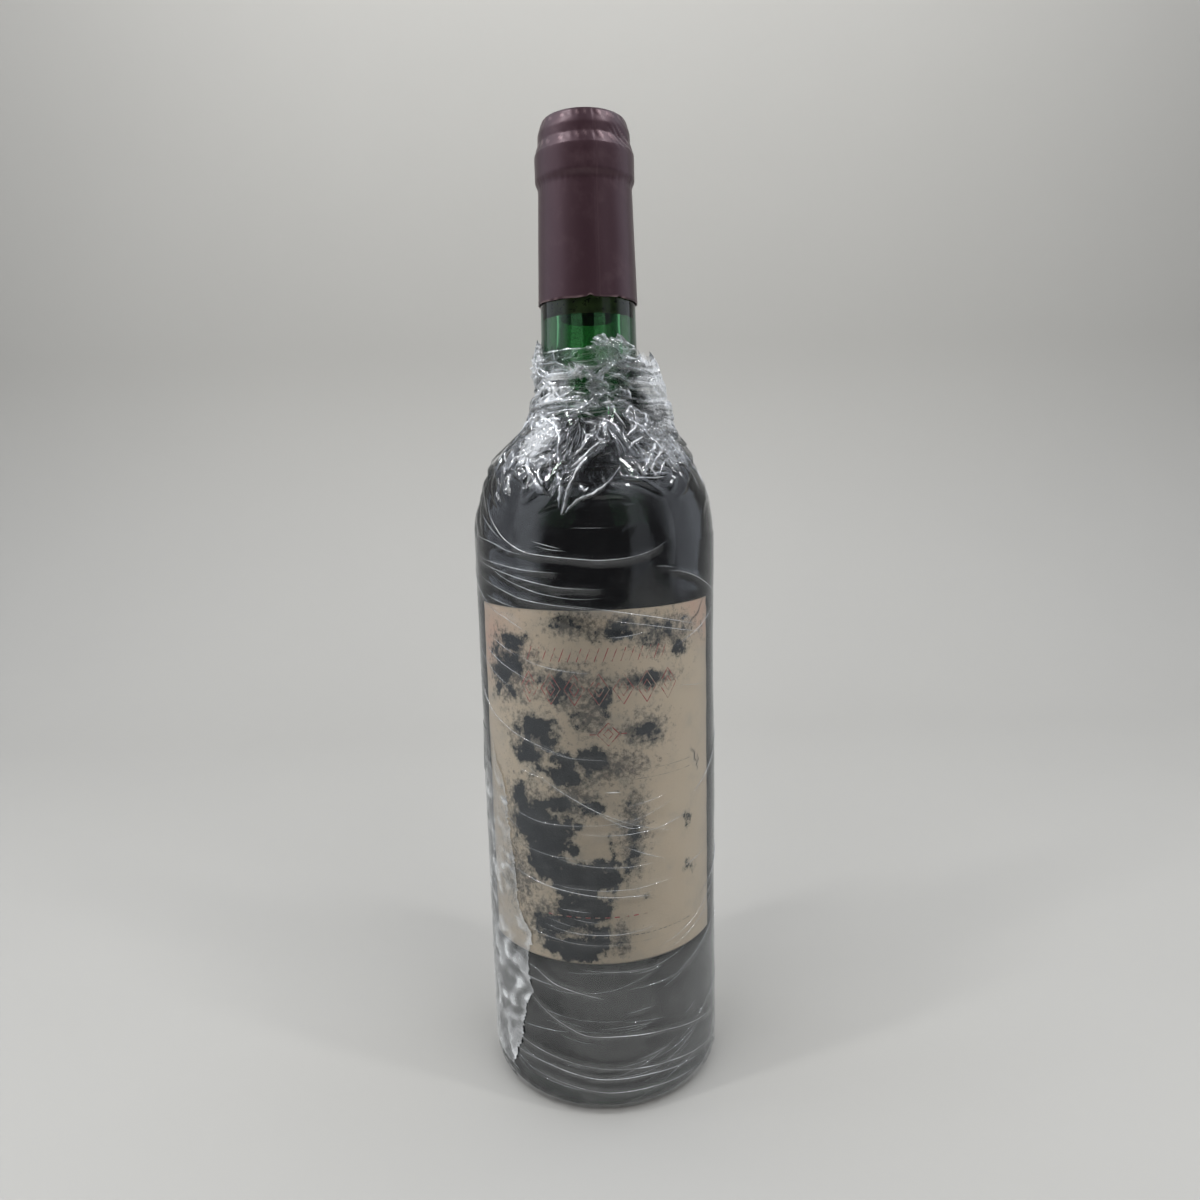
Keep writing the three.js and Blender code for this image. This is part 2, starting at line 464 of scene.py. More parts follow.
def makeGlassMaterial():
    material, tree, shader = newMaterial("bottleGlass")
    where = objectSpace(tree)
    uneven = spots(tree, where, 35, 0.35, 0.7)
    middle = mixColour(tree, uneven, glassLook["colour"], glassLook["deep"])
    facing = put(tree, "ShaderNodeLayerWeight", {"Blend": 0.5}).outputs["Facing"]
    slant = ramp(tree, facing, *glassLook["edgeFrom"])
    tree.links.new(mixColour(tree, slant, middle, glassLook["edge"]), shader.inputs["Base Color"])
    dust = spots(tree, where, 900, 0.62, 0.72)
    tree.links.new(math2(tree, "MULTIPLY_ADD", dust, glassLook["dusty"], glassLook["roughness"]),
                   shader.inputs["Roughness"])
    shader.inputs["Transmission Weight"].default_value = 1.0
    shader.inputs["IOR"].default_value = glassLook["bends"]
    setBump(tree, shader, grain(tree, where, 120, 3.0), 0.05, 0.0004)
    return material


def makeBottle():
    profile = np.concatenate([outsideProfile(), insideProfile()[::-1]])
    radius, angle, height = turned(profile, bottle["turns"])
    wander = np.sin(3 * angle + height / 17) * np.sin(height / 11 + 1)
    wander = wander + np.sin(5 * angle - height / 23)
    upright = smoothStep(height, 8, 30) * smoothStep(radius, 8, 12)
    points = aroundAxis(radius - bottle["ripple"] * upright * (1 + wander / 2), angle, height)
    mesh = closeUp(meshFrom("bottle", points, gridFaces(len(profile), bottle["turns"], True)))
    return place("bottle", mesh, makeGlassMaterial(), "glass_bottle")


wineLook = {
    "intoWall": 0.2, "level": wineHigh[2], "meniscus": 0.9, "colour": (0.010, 0.0012, 0.0022, 1),
    "bends": 1.34, "shine": 0.1,  # the glass around it takes its shine
    "turns": 128,
}


def makeWineMaterial():
    material, tree, shader = newMaterial("redWine")
    cloudy = spots(tree, objectSpace(tree), 60, 0.3, 0.8)
    deeper = tuple(0.5 * c for c in wineLook["colour"][:3]) + (1,)
    tree.links.new(mixColour(tree, cloudy, wineLook["colour"], deeper), shader.inputs["Base Color"])
    tree.links.new(math2(tree, "MULTIPLY_ADD", cloudy, 0.02, 0.02), shader.inputs["Roughness"])
    shader.inputs["IOR"].default_value = wineLook["bends"]
    shader.inputs["Specular IOR Level"].default_value = wineLook["shine"]
    return material


def makeWine():
    inside = insideProfile()
    wall = inside[inside[:, 1] < wineLook["level"]]
    out = np.where(wall[:, :1] > 1, wineLook["intoWall"], 0)
    wet = wall + out * np.array([[1.0, 0.0]])
    wet[wall[:, 1] < 25, 1] -= wineLook["intoWall"]
    neck = inside[60:]  # above the floor, where the height only rises
    edge = np.interp(wineLook["level"], neck[:, 1], neck[:, 0]) + wineLook["intoWall"]
    flat = wineLook["level"] - wineLook["meniscus"]
    curl = bezier([[edge, wineLook["level"]], [edge - 0.8, flat], [edge - 3, flat]], 8)
    profile = np.concatenate([wet, curl, np.array([[0, flat]])])
    radius, angle, height = turned(profile, wineLook["turns"])
    points = aroundAxis(radius, angle, height)
    mesh = closeUp(meshFrom("wine", points, gridFaces(len(profile), wineLook["turns"], True)))
    return place("wine_fill", mesh, makeWineMaterial(), "wine")


corkLook = {
    "intoWall": 0.12, "pale": (0.36, 0.22, 0.12, 1), "dark": (0.09, 0.03, 0.02, 1), "pits": 0.12,
    "soaked": 6,  # how far up the wine has stained it
    "bevel": 0.8, "turns": 96,
}


def makeCorkMaterial():
    material, tree, shader = newMaterial("naturalCork")
    where = objectSpace(tree)
    pores = spots(tree, where, 700, 0.55, 0.63)
    height = put(tree, "ShaderNodeSeparateXYZ", {0: where}).outputs["Z"]
    dry = (corkLow[2] + corkLook["soaked"]) * mm
    soaked = ramp(tree, height, dry, corkLow[2] * mm, kind="LINEAR")
    dark = math2(tree, "MAXIMUM", pores, soaked, clamp=True)
    tree.links.new(mixColour(tree, dark, corkLook["pale"], corkLook["dark"]),
                   shader.inputs["Base Color"])
    tree.links.new(math2(tree, "MULTIPLY_ADD", pores, 0.1, 0.8), shader.inputs["Roughness"])
    setBump(tree, shader, grain(tree, where, 900), 0.3, 0.0002)
    return material


def makeCork():
    radius = bottle["bore"] + corkLook["intoWall"]
    low, high = corkLow[2], corkHigh[2]
    bevel = corkLook["bevel"]
    base = np.linspace(0, radius - bevel, 12)
    under = np.stack([base, low + 0 * base], 1)
    over = np.stack([base[::-1], high + 0 * base], 1)
    side = line([radius, low + bevel], [radius, high - bevel], gap=0.8)
    profile = np.concatenate([under, side, over])
    ring, angle, height = turned(profile, corkLook["turns"])
    pit = corkLook["pits"] * np.sin(17 * angle + 2.1 * height) * np.sin(5 * angle - 1.3 * height)
    points = aroundAxis(ring - np.abs(pit) * (ring > 4), angle, height)
    mesh = closeUp(meshFrom("cork", points, gridFaces(len(profile), corkLook["turns"], True)))
    return place("cork_stopper", mesh, makeCorkMaterial(), "cork")


makeBottle()
makeWine()
makeCork()
print("bottle, wine and cork made")


# Capsule

capsuleLook = {
    # the lighter colour stands for wear and for painted highlight on folds and bevels
    "colour": (0.056, 0.026, 0.034, 1), "wearAndHighlight": (0.30, 0.20, 0.21, 1), "rubbed": 0.08,
    "roughness": 0.42, "metallic": 0.6, "coat": 0.25, "coatRoughness": 0.3,
}


def makeCapsuleMaterial():
    material, tree, shader = newMaterial("capsuleFoil")
    where = objectSpace(tree)
    rubbed = spots(tree, where, 160, 0.5, 0.75)
    scuffs = spots(tree, where, 1100, 0.66, 0.74)
    # lighter foil colour: rubbed wear and rim wear, and painted highlight on the dent's folds and
    # bevel wrinkles
    crease = math2(tree, "MULTIPLY", readAttribute(tree, "crease"), 0.8)
    faint = math2(tree, "MULTIPLY", rubbed, capsuleLook["rubbed"])
    wearAndHighlight = math2(tree, "MAXIMUM", faint, crease, clamp=True)
    tree.links.new(mixColour(tree, wearAndHighlight, capsuleLook["colour"], capsuleLook["wearAndHighlight"]),
                   shader.inputs["Base Color"])
    uneven = math2(tree, "MULTIPLY_ADD", rubbed, 0.08, capsuleLook["roughness"])
    tree.links.new(math2(tree, "MULTIPLY_ADD", scuffs, 0.15, uneven), shader.inputs["Roughness"])
    shader.inputs["Metallic"].default_value = capsuleLook["metallic"]
    shader.inputs["Coat Weight"].default_value = capsuleLook["coat"]
    shader.inputs["Coat Roughness"].default_value = capsuleLook["coatRoughness"]
    setBump(tree, shader, grain(tree, where, 1500, 1.0), 0.15, 0.0001)
    return material


def capsuleProfile():
    # upwards from the rim: skirt, step, ring, ledge, groove, bevel, rounded top
    rim, low, high = capsule["rimRadius"], capsuleLow[2], capsuleHigh[2]
    skirt = capsule["skirtRadius"]
    return np.concatenate([
        line([rim, low], [skirt + 0.03, 280.4], gap=0.8),
        bezier([[skirt + 0.03, 280.4], [skirt, 281.6], [14.7, 282.2], [14.93, 283.2]], 12)[1:],
        line([14.93, 283.2], [14.95, 288.6], gap=0.5)[1:],
        bezier([[14.95, 288.6], [14.95, 290.2], [14.85, 290.3]], 7)[1:],
        bezier([[14.85, 290.3], [14.1, 292.4], [13.85, 293.2]], 9)[1:],
        line([13.85, 293.2], [13.78, 295.7], gap=0.4)[1:],
        bezier([[13.78, 295.7], [13.7, 296.4], [13.3, 297.4]], 6)[1:],
        line([13.3, 297.4], [12.75, 299.0], gap=0.4)[1:],
        bezier([[12.75, 299.0], [12.4, high], [11.4, high]], 8)[1:],
        line([11.4, high], [9.6, high], [9.1, high - 0.12], [0.02, high - 0.12], gap=1.2)[1:],
    ])


def capsuleRelief(angle, height):
    # how far the foil is pressed in, and where it is sharply creased and marked lighter: wear on
    # the frayed rim and the seam line, painted highlight on the dent's folds and the bevel wrinkles
    seam = capsule["seamDepth"] * bump(angle, capsule["seamAngle"], 0.014)
    crimps = capsule["crimpDepth"] * np.abs(np.sin(21 * angle + np.sin(3 * angle) * 2)) ** 6
    crimps = crimps * bump(height, 281.6, 1.6)
    slant = (height - capsule["dentHeight"]) + 9 * (angle - capsule["dentAngle"])
    patch = bump(angle, capsule["dentAngle"], 0.30) * bump(height, capsule["dentHeight"], 2.4)
    folds = np.abs(np.sin(1.45 * slant + 0.8 * np.sin(9 * angle)))
    dent = capsule["dentDepth"] * patch * (0.35 + 0.65 * (1 - folds))
    # painted highlight along the dent's sharp folds
    creases = patch * (1 - folds) ** 5
    drape = 0.03 * np.sin(7 * angle + height / 9) * np.sin(height / 6 + 2 * np.sin(2 * angle))
    bevels = bump(height, 292.2, 1.3) + bump(height, 298.4, 1.0)
    wrinkles = np.sin(23 * angle + 3 * np.sin(5 * angle) + height) * np.sin(9 * angle + 2)
    wrinkles = capsule["wrinkles"] * bevels * wrinkles
    frayed = 0.4 + 0.6 * np.sin(17 * angle + np.sin(9 * angle) * 2)
    edge = 0.9 * bump(height, capsuleLow[2], 0.35) * frayed
    shown = 0.12 * bump(angle, capsule["seamAngle"] + 0.02, 0.012)
    # lighter marks: painted highlight on the bevel wrinkles and the dent's folds, wear on the
    # frayed rim, and the seam line
    marks = np.clip(creases + np.clip(edge, 0, 1) + shown + 0.4 * bevels * (wrinkles < -0.03), 0, 1)
    return seam + crimps + dent + drape + wrinkles, marks


def makeCapsule():
    profile = capsuleProfile()
    radius, angle, height = turned(profile, capsule["turns"])
    signed = (angle + np.pi) % (2 * np.pi) - np.pi
    inward, crease = capsuleRelief(signed, height)
    nick = 0.55 * bump(signed, math.radians(3), 0.06) + 0.3 * bump(signed, math.radians(38), 0.04)
    wave = 0.12 * np.sin(3 * angle) + 0.08 * np.sin(11 * angle + 1) ** 3
    lift = (nick + 0.2 + wave) * smoothStep(-height, -(capsuleLow[2] + 2.5), -capsuleLow[2])
    keep = smoothStep(radius, 2, 12)
    outer = aroundAxis(radius - inward * keep, angle, height + lift)
    inner = aroundAxis(radius - (inward + capsule["foil"]) * keep, angle,
                       height + lift - capsule["foil"] * (1 - smoothStep(radius, 9, 13.2)))
    points = np.concatenate([inner[::-1], outer])
    creases = np.concatenate([crease[::-1] + 0 * inner[::-1, :, 0], crease + 0 * outer[..., 0]])
    faces = gridFaces(len(points), capsule["turns"], True)
    mesh = closeUp(meshFrom("capsule", points, faces, {"crease": creases}))
    return place("capsule_foil", mesh, makeCapsuleMaterial(), "capsule")


makeCapsule()
print("capsule made")


# Label. Its own coordinates: across from the middle, and up from the lower edge, in mm.

labelMiddle = (label["inner"] + label["outer"]) / 2
labelHeight = label["high"] - label["low"]

stains = [  # across, up, half width, half height, lean in degrees, strength
    (-28, 98, 6.8, 3.0, 0, 0.85), (-30, 89, 8.6, 4.6, 20, 0.95), (-29, 82, 5.6, 2.9, 0, 0.75),
    (-36, 94, 3.3, 5.2, 0, 0.6), (-6, 104, 8.7, 3.8, 0, 0.62), (8, 103, 8.8, 3.9, 0, 0.72),
    (24, 100, 14.2, 5.4, 0, 0.6), (28, 96, 7.5, 4.5, 0, 0.5), (-11, 85, 3.9, 6.1, 0, 0.8),
    (2, 84, 2.7, 6.6, 0, 0.9), (15, 87, 8.3, 2.3, 0, 0.8), (-16, 87, 3.3, 3.2, 0, 0.5),
    (14, 72, 6.4, 5.2, -15, 0.6), (-19, 73, 7.2, 4.1, 15, 0.95), (-22, 65, 6.1, 3.7, 0, 0.9),
    (-15, 69, 4.1, 4.6, 0, 0.8), (-10, 59, 5.4, 3.6, 0, 1.0), (-2, 64, 5.0, 4.2, -10, 0.95),
    (-6, 74, 3.4, 3.5, 0, 0.6), (-26, 50, 3.6, 5.9, 0, 0.8), (-21, 43, 7.0, 7.5, 10, 1.1),
    (-13, 50, 6.2, 3.2, 0, 0.85), (-12, 41, 5.3, 6.3, 0, 0.9), (-2, 50, 5.6, 2.9, 0, 0.75),
    (-6, 44, 2.7, 2.1, 0, 0.7), (-17, 33, 7.0, 7.5, 15, 1.1), (-5, 27, 10.7, 5.8, 10, 1.2),
    (-8, 36, 2.2, 2.1, 0, 0.8), (-5, 18, 8.3, 5.3, 0, 1.15), (-15, 11, 7.5, 4.4, 0, 0.85),
    (-8, 5, 11.2, 4.7, 0, 0.95), (0, 9, 2.7, 5.4, 0, 0.9), (10, 40, 2.6, 12.4, 0, 0.62),
    (3, 39, 1.0, 3.9, 0, 0.6), (4, 35, 1.1, 2.6, 0, 0.6), (29, 40, 2.6, 3.8, 0, 0.6),
    (30, 26, 2.9, 3.0, 0, 0.55), (6, 60, 3.5, 4.1, 0, 0.45), (14, 20, 2.2, 1.3, 0, 0.55),
    (6, 5, 2.5, 4.3, 0, 0.4), (-10, 64, 4.4, 3.0, 0, 0.9), (-33, 84, 4.0, 6.0, 0, 0.7),
    (-20, 60, 4.0, 5.0, 0, 0.6),
]
smudges = [  # across, up, half width, half height: where the paper is peppered with fine grey
    (21, 100, 11, 6), (-6, 104, 9, 4), (8, 103, 9, 4), (-8, 86, 12, 7), (15, 87, 11, 3),
    (14, 72, 8, 6), (-27, 90, 11, 11), (-20, 70, 10, 8), (10, 42, 5, 14), (4, 62, 12, 5),
    (-28, 25, 8, 12), (-15, 12, 14, 8), (-2, 78, 6, 7), (6, 8, 3, 6), (-23, 45, 11, 12),
    (-8, 52, 8, 8),
]
slits = [  # across, up, half length, lean in degrees: dark cracks in the paper
    (33.5, 60, 3.4, -62), (35.2, 57.5, 2.2, 80), (-1, 83, 3.0, 65), (-3, 78, 2.2, 50),
    (34, 103, 6.5, 38),
]
labelLook = {
    "paper": (0.60, 0.525, 0.41, 1), "warm": (0.64, 0.42, 0.33, 1), "grey": (0.43, 0.40, 0.34, 1),
    "mould": (0.028, 0.033, 0.040, 1), "bleed": (0.20, 0.20, 0.16, 1), "roughness": 0.8,
    "halo": (0.28, 0.62), "core": (0.46, 0.66), "pepper": (0.66, 0.86),
}


def leaning(across, up, x, y, lean):
    # along and across a mark that leans by so many degrees
    c, s = math.cos(math.radians(lean)), math.sin(math.radians(lean))
    return (across - x) * c + (up - y) * s, -(across - x) * s + (up - y) * c


def stainField(across, up):
    field = np.zeros_like(across)
    for x, y, wide, tall, lean, strength in stains:
        u, v = leaning(across, up, x, y, lean)
        field = np.maximum(field, strength * np.exp(-((u / wide) ** 2 + (v / tall) ** 2) * 0.7))
    return field


def smudgeField(across, up):
    field = np.zeros_like(across)
    for x, y, wide, tall in smudges:
        far = ((across - x) / wide) ** 2 + ((up - y) / tall) ** 2
        field = np.maximum(field, np.exp(-0.6 * far))
    return field


def slitField(across, up):
    field = np.zeros_like(across)
    for x, y, reach, lean in slits:
        u, v = leaning(across, up, x, y, lean)
        u = u / reach
        v = (v + 0.4 * np.sin(u * 5)) / label["slitWidth"]
        field = np.maximum(field, np.exp(-u ** 4 - v * v))
    return field


def makeLabelMaterial():
    material, tree, shader = newMaterial("stainedPaper")
    where = objectSpace(tree)
    patchy = math2(tree, "MULTIPLY_ADD", spots(tree, where, 45, 0.45, 0.75), 0.5, 0.5)
    blush = math2(tree, "MULTIPLY", patchy, readAttribute(tree, "warm"))
    colour = mixColour(tree, blush, labelLook["paper"], labelLook["warm"])
    drab = math2(tree, "MULTIPLY", spots(tree, where, 150, 0.45, 0.8), 0.5)
    colour = mixColour(tree, drab, colour, labelLook["grey"])
    field = readAttribute(tree, "stain")
    ragged = noise(tree, where, 230.0, 8.0, 0.68)
    reach = math2(tree, "MULTIPLY_ADD", math2(tree, "SUBTRACT", ragged, 0.5), 2.1, field)
    halo, core = ramp(tree, reach, *labelLook["halo"]), ramp(tree, reach, *labelLook["core"])
    colour = mixColour(tree, math2(tree, "MULTIPLY", halo, 0.55), colour, labelLook["bleed"])
    specks = noise(tree, where, 620.0, 5.0, 0.75)
    peppered = math2(tree, "MULTIPLY_ADD", readAttribute(tree, "smudge"), 0.34, specks)
    peppered = ramp(tree, peppered, *labelLook["pepper"], end=0.75, kind="LINEAR")
    dark = math2(tree, "MAXIMUM", core, readAttribute(tree, "slit"), clamp=True)
    dark = math2(tree, "MAXIMUM", dark, peppered, clamp=True)
    tree.links.new(mixColour(tree, dark, colour, labelLook["mould"]), shader.inputs["Base Color"])
    tree.links.new(math2(tree, "MULTIPLY_ADD", dark, -0.15, labelLook["roughness"]),
                   shader.inputs["Roughness"])
    setBump(tree, shader, grain(tree, where, 1300, 0.8), 0.35, 0.00015)
    return material


def labelPoint(across, up, lift=0.0):
    radius = label["outer"] + lift
    return aroundAxis(radius, across / labelMiddle + label["turn"], up + label["low"])


def makeLabel():
    across = np.linspace(-label["width"] / 2, label["width"] / 2, label["columns"])[None, :]
    up = np.linspace(0, labelHeight, label["rows"])[:, None]
    across, up = across + 0 * up, up + 0 * across
    stain, slit = stainField(across, up), slitField(across, up)
    corner = bump(across, 42, 9) * bump(up, 108, 9)
    warm = np.clip(corner * 2.6 + bump(across, -37, 12) * bump(up, 98, 12) + 0.1, 0, 1)
    ripple = np.sin(across / 3.1 + np.sin(up / 7)) * np.sin(up / 4.3 + 1.5 * np.sin(across / 9))
    relief = label["relief"] * ripple * (0.4 + stain) - 0.08 * slit
    relief = relief + 0.12 * corner * np.sin(across - up)
    torn = 0.25 * np.sin(up / 2.3) * np.sin(up / 5.1) * (np.abs(across) > label["width"] / 2 - 0.01)
    front = labelPoint(across + torn, up, relief)
    back = labelPoint(across + torn, up, label["inner"] - label["outer"])
    values = {"stain": stain, "slit": slit, "warm": warm, "smudge": smudgeField(across, up)}
    rows, columns = across.shape
    faces = gridFaces(rows, columns, False)
    behind = faces[:, ::-1] + rows * columns
    rim = np.concatenate([np.arange(columns), np.arange(1, rows) * columns + columns - 1,
                          rows * columns - 2 - np.arange(columns - 1),
                          (np.arange(rows - 2)[::-1] + 1) * columns])
    after = np.roll(rim, -1)
    edges = np.stack([rim + rows * columns, after + rows * columns, after, rim], 1)
    doubled = {key: np.concatenate([v.ravel(), v.ravel()]) for key, v in values.items()}
    points = np.concatenate([front.reshape(-1, 3), back.reshape(-1, 3)])
    mesh = meshFrom("label", points, np.concatenate([faces, behind, edges]), doubled)
    return place("paper_label", mesh, makeLabelMaterial(), "label")


printLook = {
    "red": (0.42, 0.06, 0.07, 1), "grey": (0.17, 0.165, 0.15, 1), "thickness": 0.17, "patchy": 0.42,
    "sink": 0.06,  # how deep the lines sit in the paper
}


def makeInkMaterial():
    material, tree, shader = newMaterial("raisedInk")
    where = objectSpace(tree)
    ink = mixColour(tree, readAttribute(tree, "grey"), printLook["red"], printLook["grey"])
    faded = spots(tree, where, 400, printLook["patchy"], 0.6)
    paper = tuple(0.8 * c for c in labelLook["paper"][:3]) + (1,)
    tree.links.new(mixColour(tree, faded, ink, paper), shader.inputs["Base Color"])
    tree.links.new(math2(tree, "MULTIPLY_ADD", faded, 0.2, 0.55), shader.inputs["Roughness"])
    setBump(tree, shader, grain(tree, where, 1500), 0.2, 0.0001)
    return material


def drawn(corners, step=1.2):
    # a line over the label through corners given as (across, up)
    flat = line(*corners, gap=step)
    return labelPoint(flat[:, 0], flat[:, 1], -printLook["sink"])


def diamond(x, y, wide, tall):
    return [(x, y - tall), (x + wide, y), (x, y + tall), (x - wide, y), (x, y - tall)]


def printedLines():
    # simple shapes where the label is printed: lozenges, bars and rules in red and grey
    marks = []
    for k in range(17):
        x = -20 + 2.55 * k
        marks.append((drawn([(x - 0.8, 93.2), (x + 0.8, 97.2)]), 0.85, 0))
    for k in range(7):
        x = -20.5 + 7.1 * k
        for size in (1.0, 0.45):
            marks.append((drawn(diamond(x, 85.1, 3.0 * size, 4.6 * size)), 0.9, 0))
    for wide, tall in ((3.2, 3.4), (1.4, 1.5)):
        marks.append((drawn(diamond(3.2, 71.8, wide, tall)), 1.0, 0))
    marks.append((drawn([(-2.2, 71.8), (-0.4, 71.8)]), 0.9, 0))
    marks.append((drawn([(6.8, 71.8), (8.6, 71.8)]), 0.9, 0))
    for up in (57.6, 60.2):
        marks.append((drawn([(9.3, up), (31, up)]), 0.6, 1))
    for k in range(11):
        marks.append((drawn([(-16.5 + 2.9 * k, 15), (-15 + 2.9 * k, 15)]), 1.2, 0))
    for k in range(16):
        marks.append((drawn([(0.5 + 1.9 * k, 8.6), (1.6 + 1.9 * k, 8.6)]), 0.9, 1))
        if k % 3:
            marks.append((drawn([(-32 + 1.9 * k, 9.4), (-30.9 + 1.9 * k, 9.4)]), 0.8, 1))
    marks.append((drawn([(-33, 6.2), (31, 6.2)]), 0.45, 1))
    return marks


def makePrint():
    material = makeInkMaterial()
    mesh = threads("print", printedLines(), printLook["thickness"], 6, material, "grey")
    return place("label_print", mesh, material, "label")


makeLabel()
makePrint()
print("label made")


# Film: a thin sheet that hugs the body and is gathered round the shoulder and neck

film = {
    "columns": 320,
    "bodyRows": 146,
    "shoulderRows": 112,
    "low": 1.6,
    "join": 178.0,
    "radius": 37.82,  # outside of the smooth sheet
    "top": 233.4,
    "gap": 0.35,  # least distance from the shoulder's glass
    "growRounds": [200, 90, 70],  # on the coarse, the middle and the fine grid
    "bendLimit": 0.66,  # how far two links may fold together, as a share of their length
    "sharp": (0.11, 0.5),  # from where to where a fold counts as sharp
    # whiteness of the gathered film, from its layers and from painted glint
    "plainWhiteAndGlint": 0.16, "farWhiteAndGlint": 0.5,
    "seed": 8,
    "strayCreases": 95,
    "lowCreases": 60,
    "lineThickness": 0.055,
}

# creases that show, painted with glint along them: (angle in degrees, height) along each, then
# height above the sheet and width
creasePaths = [
    ([(-64, 191), (-52, 184), (-43, 179), (-32, 175.6), (-21, 174.8), (2, 173.4), (14, 173.8),
      (25, 175.3), (33, 178)], 0.25, 1.2),
    ([(-69, 179.5), (-50, 177.8), (-41, 175.7), (-33, 175)], 0.22, 0.8),
    ([(-66, 173), (-46, 171.7), (-33, 170.6), (-22, 170.2), (-15, 170)], 0.2, 0.9),
    ([(-67, 172), (-46, 169.6), (-30, 167.5), (-15, 165.8), (4, 165.3)], 0.22, 0.9),
    ([(-64, 167), (-46, 164.3), (-35, 162.2), (-23, 161.2), (-11, 160.4), (5, 159)], 0.2, 0.8),
    ([(-59, 162), (-45, 160.2), (-35, 159.4)], 0.15, 0.7),
    ([(-28, 179), (-21, 177.8), (-14, 176.8)], 0.15, 1.1),
    ([(-26, 177.7), (-20, 176.5), (-12, 176.2)], 0.15, 0.9),
    ([(-63, 186), (-52, 181.6), (-45, 179)], 0.2, 0.7),
    ([(34, 169.5), (40, 169), (50, 167), (61, 163.8), (74, 159.6)], 0.22, 1.0),
    ([(27, 171), (33, 170.8), (37, 170)], 0.12, 0.6),
    ([(-10, 182.6), (-2, 182.5), (6, 182.4)], 0.1, 0.5),
    ([(-56, 158.5), (-42, 155.6), (-31, 152.4)], 0.15, 0.7),
    ([(-13, 161), (4, 159.5), (25, 156.7), (53, 152)], 0.2, 0.9),
    ([(4, 156.7), (24, 154.2), (60, 148.7)], 0.15, 0.7),
    ([(-80, 136.7), (-59, 126), (-41, 121.4), (-23, 118.1), (-11, 115.7)], 0.3, 0.9),
    ([(-36, 112.8), (-19, 106.2), (-1, 99.5), (17, 94.4), (34, 90.9)], 0.3, 0.9),
    ([(2, 105.7), (9, 105.5)], 0.12, 1.3),
    ([(-2, 99.5), (5, 96.8), (13, 93.6), (20, 94)], 0.15, 0.8),
    ([(10, 88.7), (19, 85.7), (30, 82.5)], 0.15, 0.7),
    ([(-45, 78.2), (-29, 75.7), (-13, 74.3), (2, 72.9), (19, 72.5), (23, 73.6)], 0.2, 0.9),
    ([(-21, 68.8), (-5, 68.1)], 0.12, 0.6),
    ([(8, 73), (22, 72)], 0.12, 0.6),
    ([(-36, 47.9), (-25, 43.4), (-12, 41.7), (0, 39.9)], 0.3, 1.0),
    ([(-41, 38.7), (-26, 32.1), (-10, 27.4), (7, 27.3), (29, 26), (68, 20)], 0.35, 1.1),
    ([(-51, 20.7), (-29, 19), (-10, 17.2), (7, 16), (32, 14.6), (68, 10.3)], 0.35, 1.2),
    ([(-51, 15.7), (-29, 15.5), (-4, 12.9), (21, 12.7), (51, 10.3)], 0.3, 1.1),
    ([(-39, 11.5), (-20, 10.2), (-1, 8.3), (21, 8.1), (51, 6.7)], 0.3, 1.0),
]


def strayPaths():
    # the sheet was wound under tension: its creases hang like swags between the two sides
    draw = np.random.default_rng(film["seed"])
    paths = []
    for number in range(film["strayCreases"] + film["lowCreases"]):
        low = number >= film["strayCreases"]  # finer and closer together under the label
        middle = draw.choice([draw.normal(0, 8), draw.normal(180, 12)])
        base = draw.uniform(6, 48) if low else draw.uniform(8, 172)
        curl = draw.uniform(4, 17) * (1 if draw.random() < 0.85 else -0.4)
        centre = np.clip(draw.normal(0, 45), -75, 75)
        half = draw.uniform(4, 15) if low else draw.uniform(6, 30)
        across = np.linspace(centre - half, centre + half, max(4, int(half / 2.5)))
        up = base + 1.7 * curl * (0.8 - np.cos(np.radians(across)))
        up = up + draw.normal(0, 0.12, len(across))
        strength = draw.uniform(0.2, 0.5) if low else draw.uniform(0.3, 0.8)
        paths.append((list(zip(across + middle, up)), draw.uniform(0.06, 0.2), strength))
    return paths


allPaths = creasePaths + strayPaths()


def creaseRelief(angle, height):
    # height of the creases above the sheet, and how strongly the sheet is painted with glint there
    relief, glint = np.zeros_like(height), np.zeros_like(height)
    for path, rise, strength in allPaths:
        across, up = np.array(path).T
        across = np.radians(across)
        offset = (angle[:1] - across.mean() + np.pi) % (2 * np.pi) - np.pi + across.mean()
        level = np.interp(offset, across, up)
        ends = smoothStep(offset, across[0] - 0.02, across[0] + 0.12)
        ends = ends * (1 - smoothStep(offset, across[-1] - 0.12, across[-1] + 0.02))
        gap = height - level
        relief += rise * ends * (bump(gap, 0, 0.9) - 0.5 * bump(gap, -2.0, 1.3))
        glint = np.maximum(glint, strength * ends * bump(gap, 0, 0.7))
    return relief, np.clip(glint, 0, 1)


def slackAt(angle, height):
    # the sheet is looser on the right side
    side = smoothStep(np.sin(angle), 0.2, 0.95)
    return 0.3 * side * (0.5 + 0.5 * np.sin(height / 13 + 2 * np.sin(angle * 2)))


def bodySheet(angle, height):
    relief, glint = creaseRelief(angle, height)
    ripple = 0.05 * np.sin(9 * angle + height / 4) * np.sin(height / 6.5 + 3 * angle)
    low = smoothStep(-height, -10, -2)
    radius = film["radius"] + slackAt(angle, height) + ripple + np.clip(relief, -0.1, 0.4)
    stand = bottle["radius"] - bottle["heel"]
    heel = stand + np.sqrt(bottle["heel"] ** 2 - np.minimum(height - bottle["heel"], 0) ** 2)
    crumple = 0.3 * low * np.sin(31 * angle + height) * np.sin(13 * angle - height / 2)
    # the crumpled foot is painted with glint as well
    return radius - (bottle["radius"] - heel) + crumple, np.clip(glint + np.abs(crumple), 0, 1)


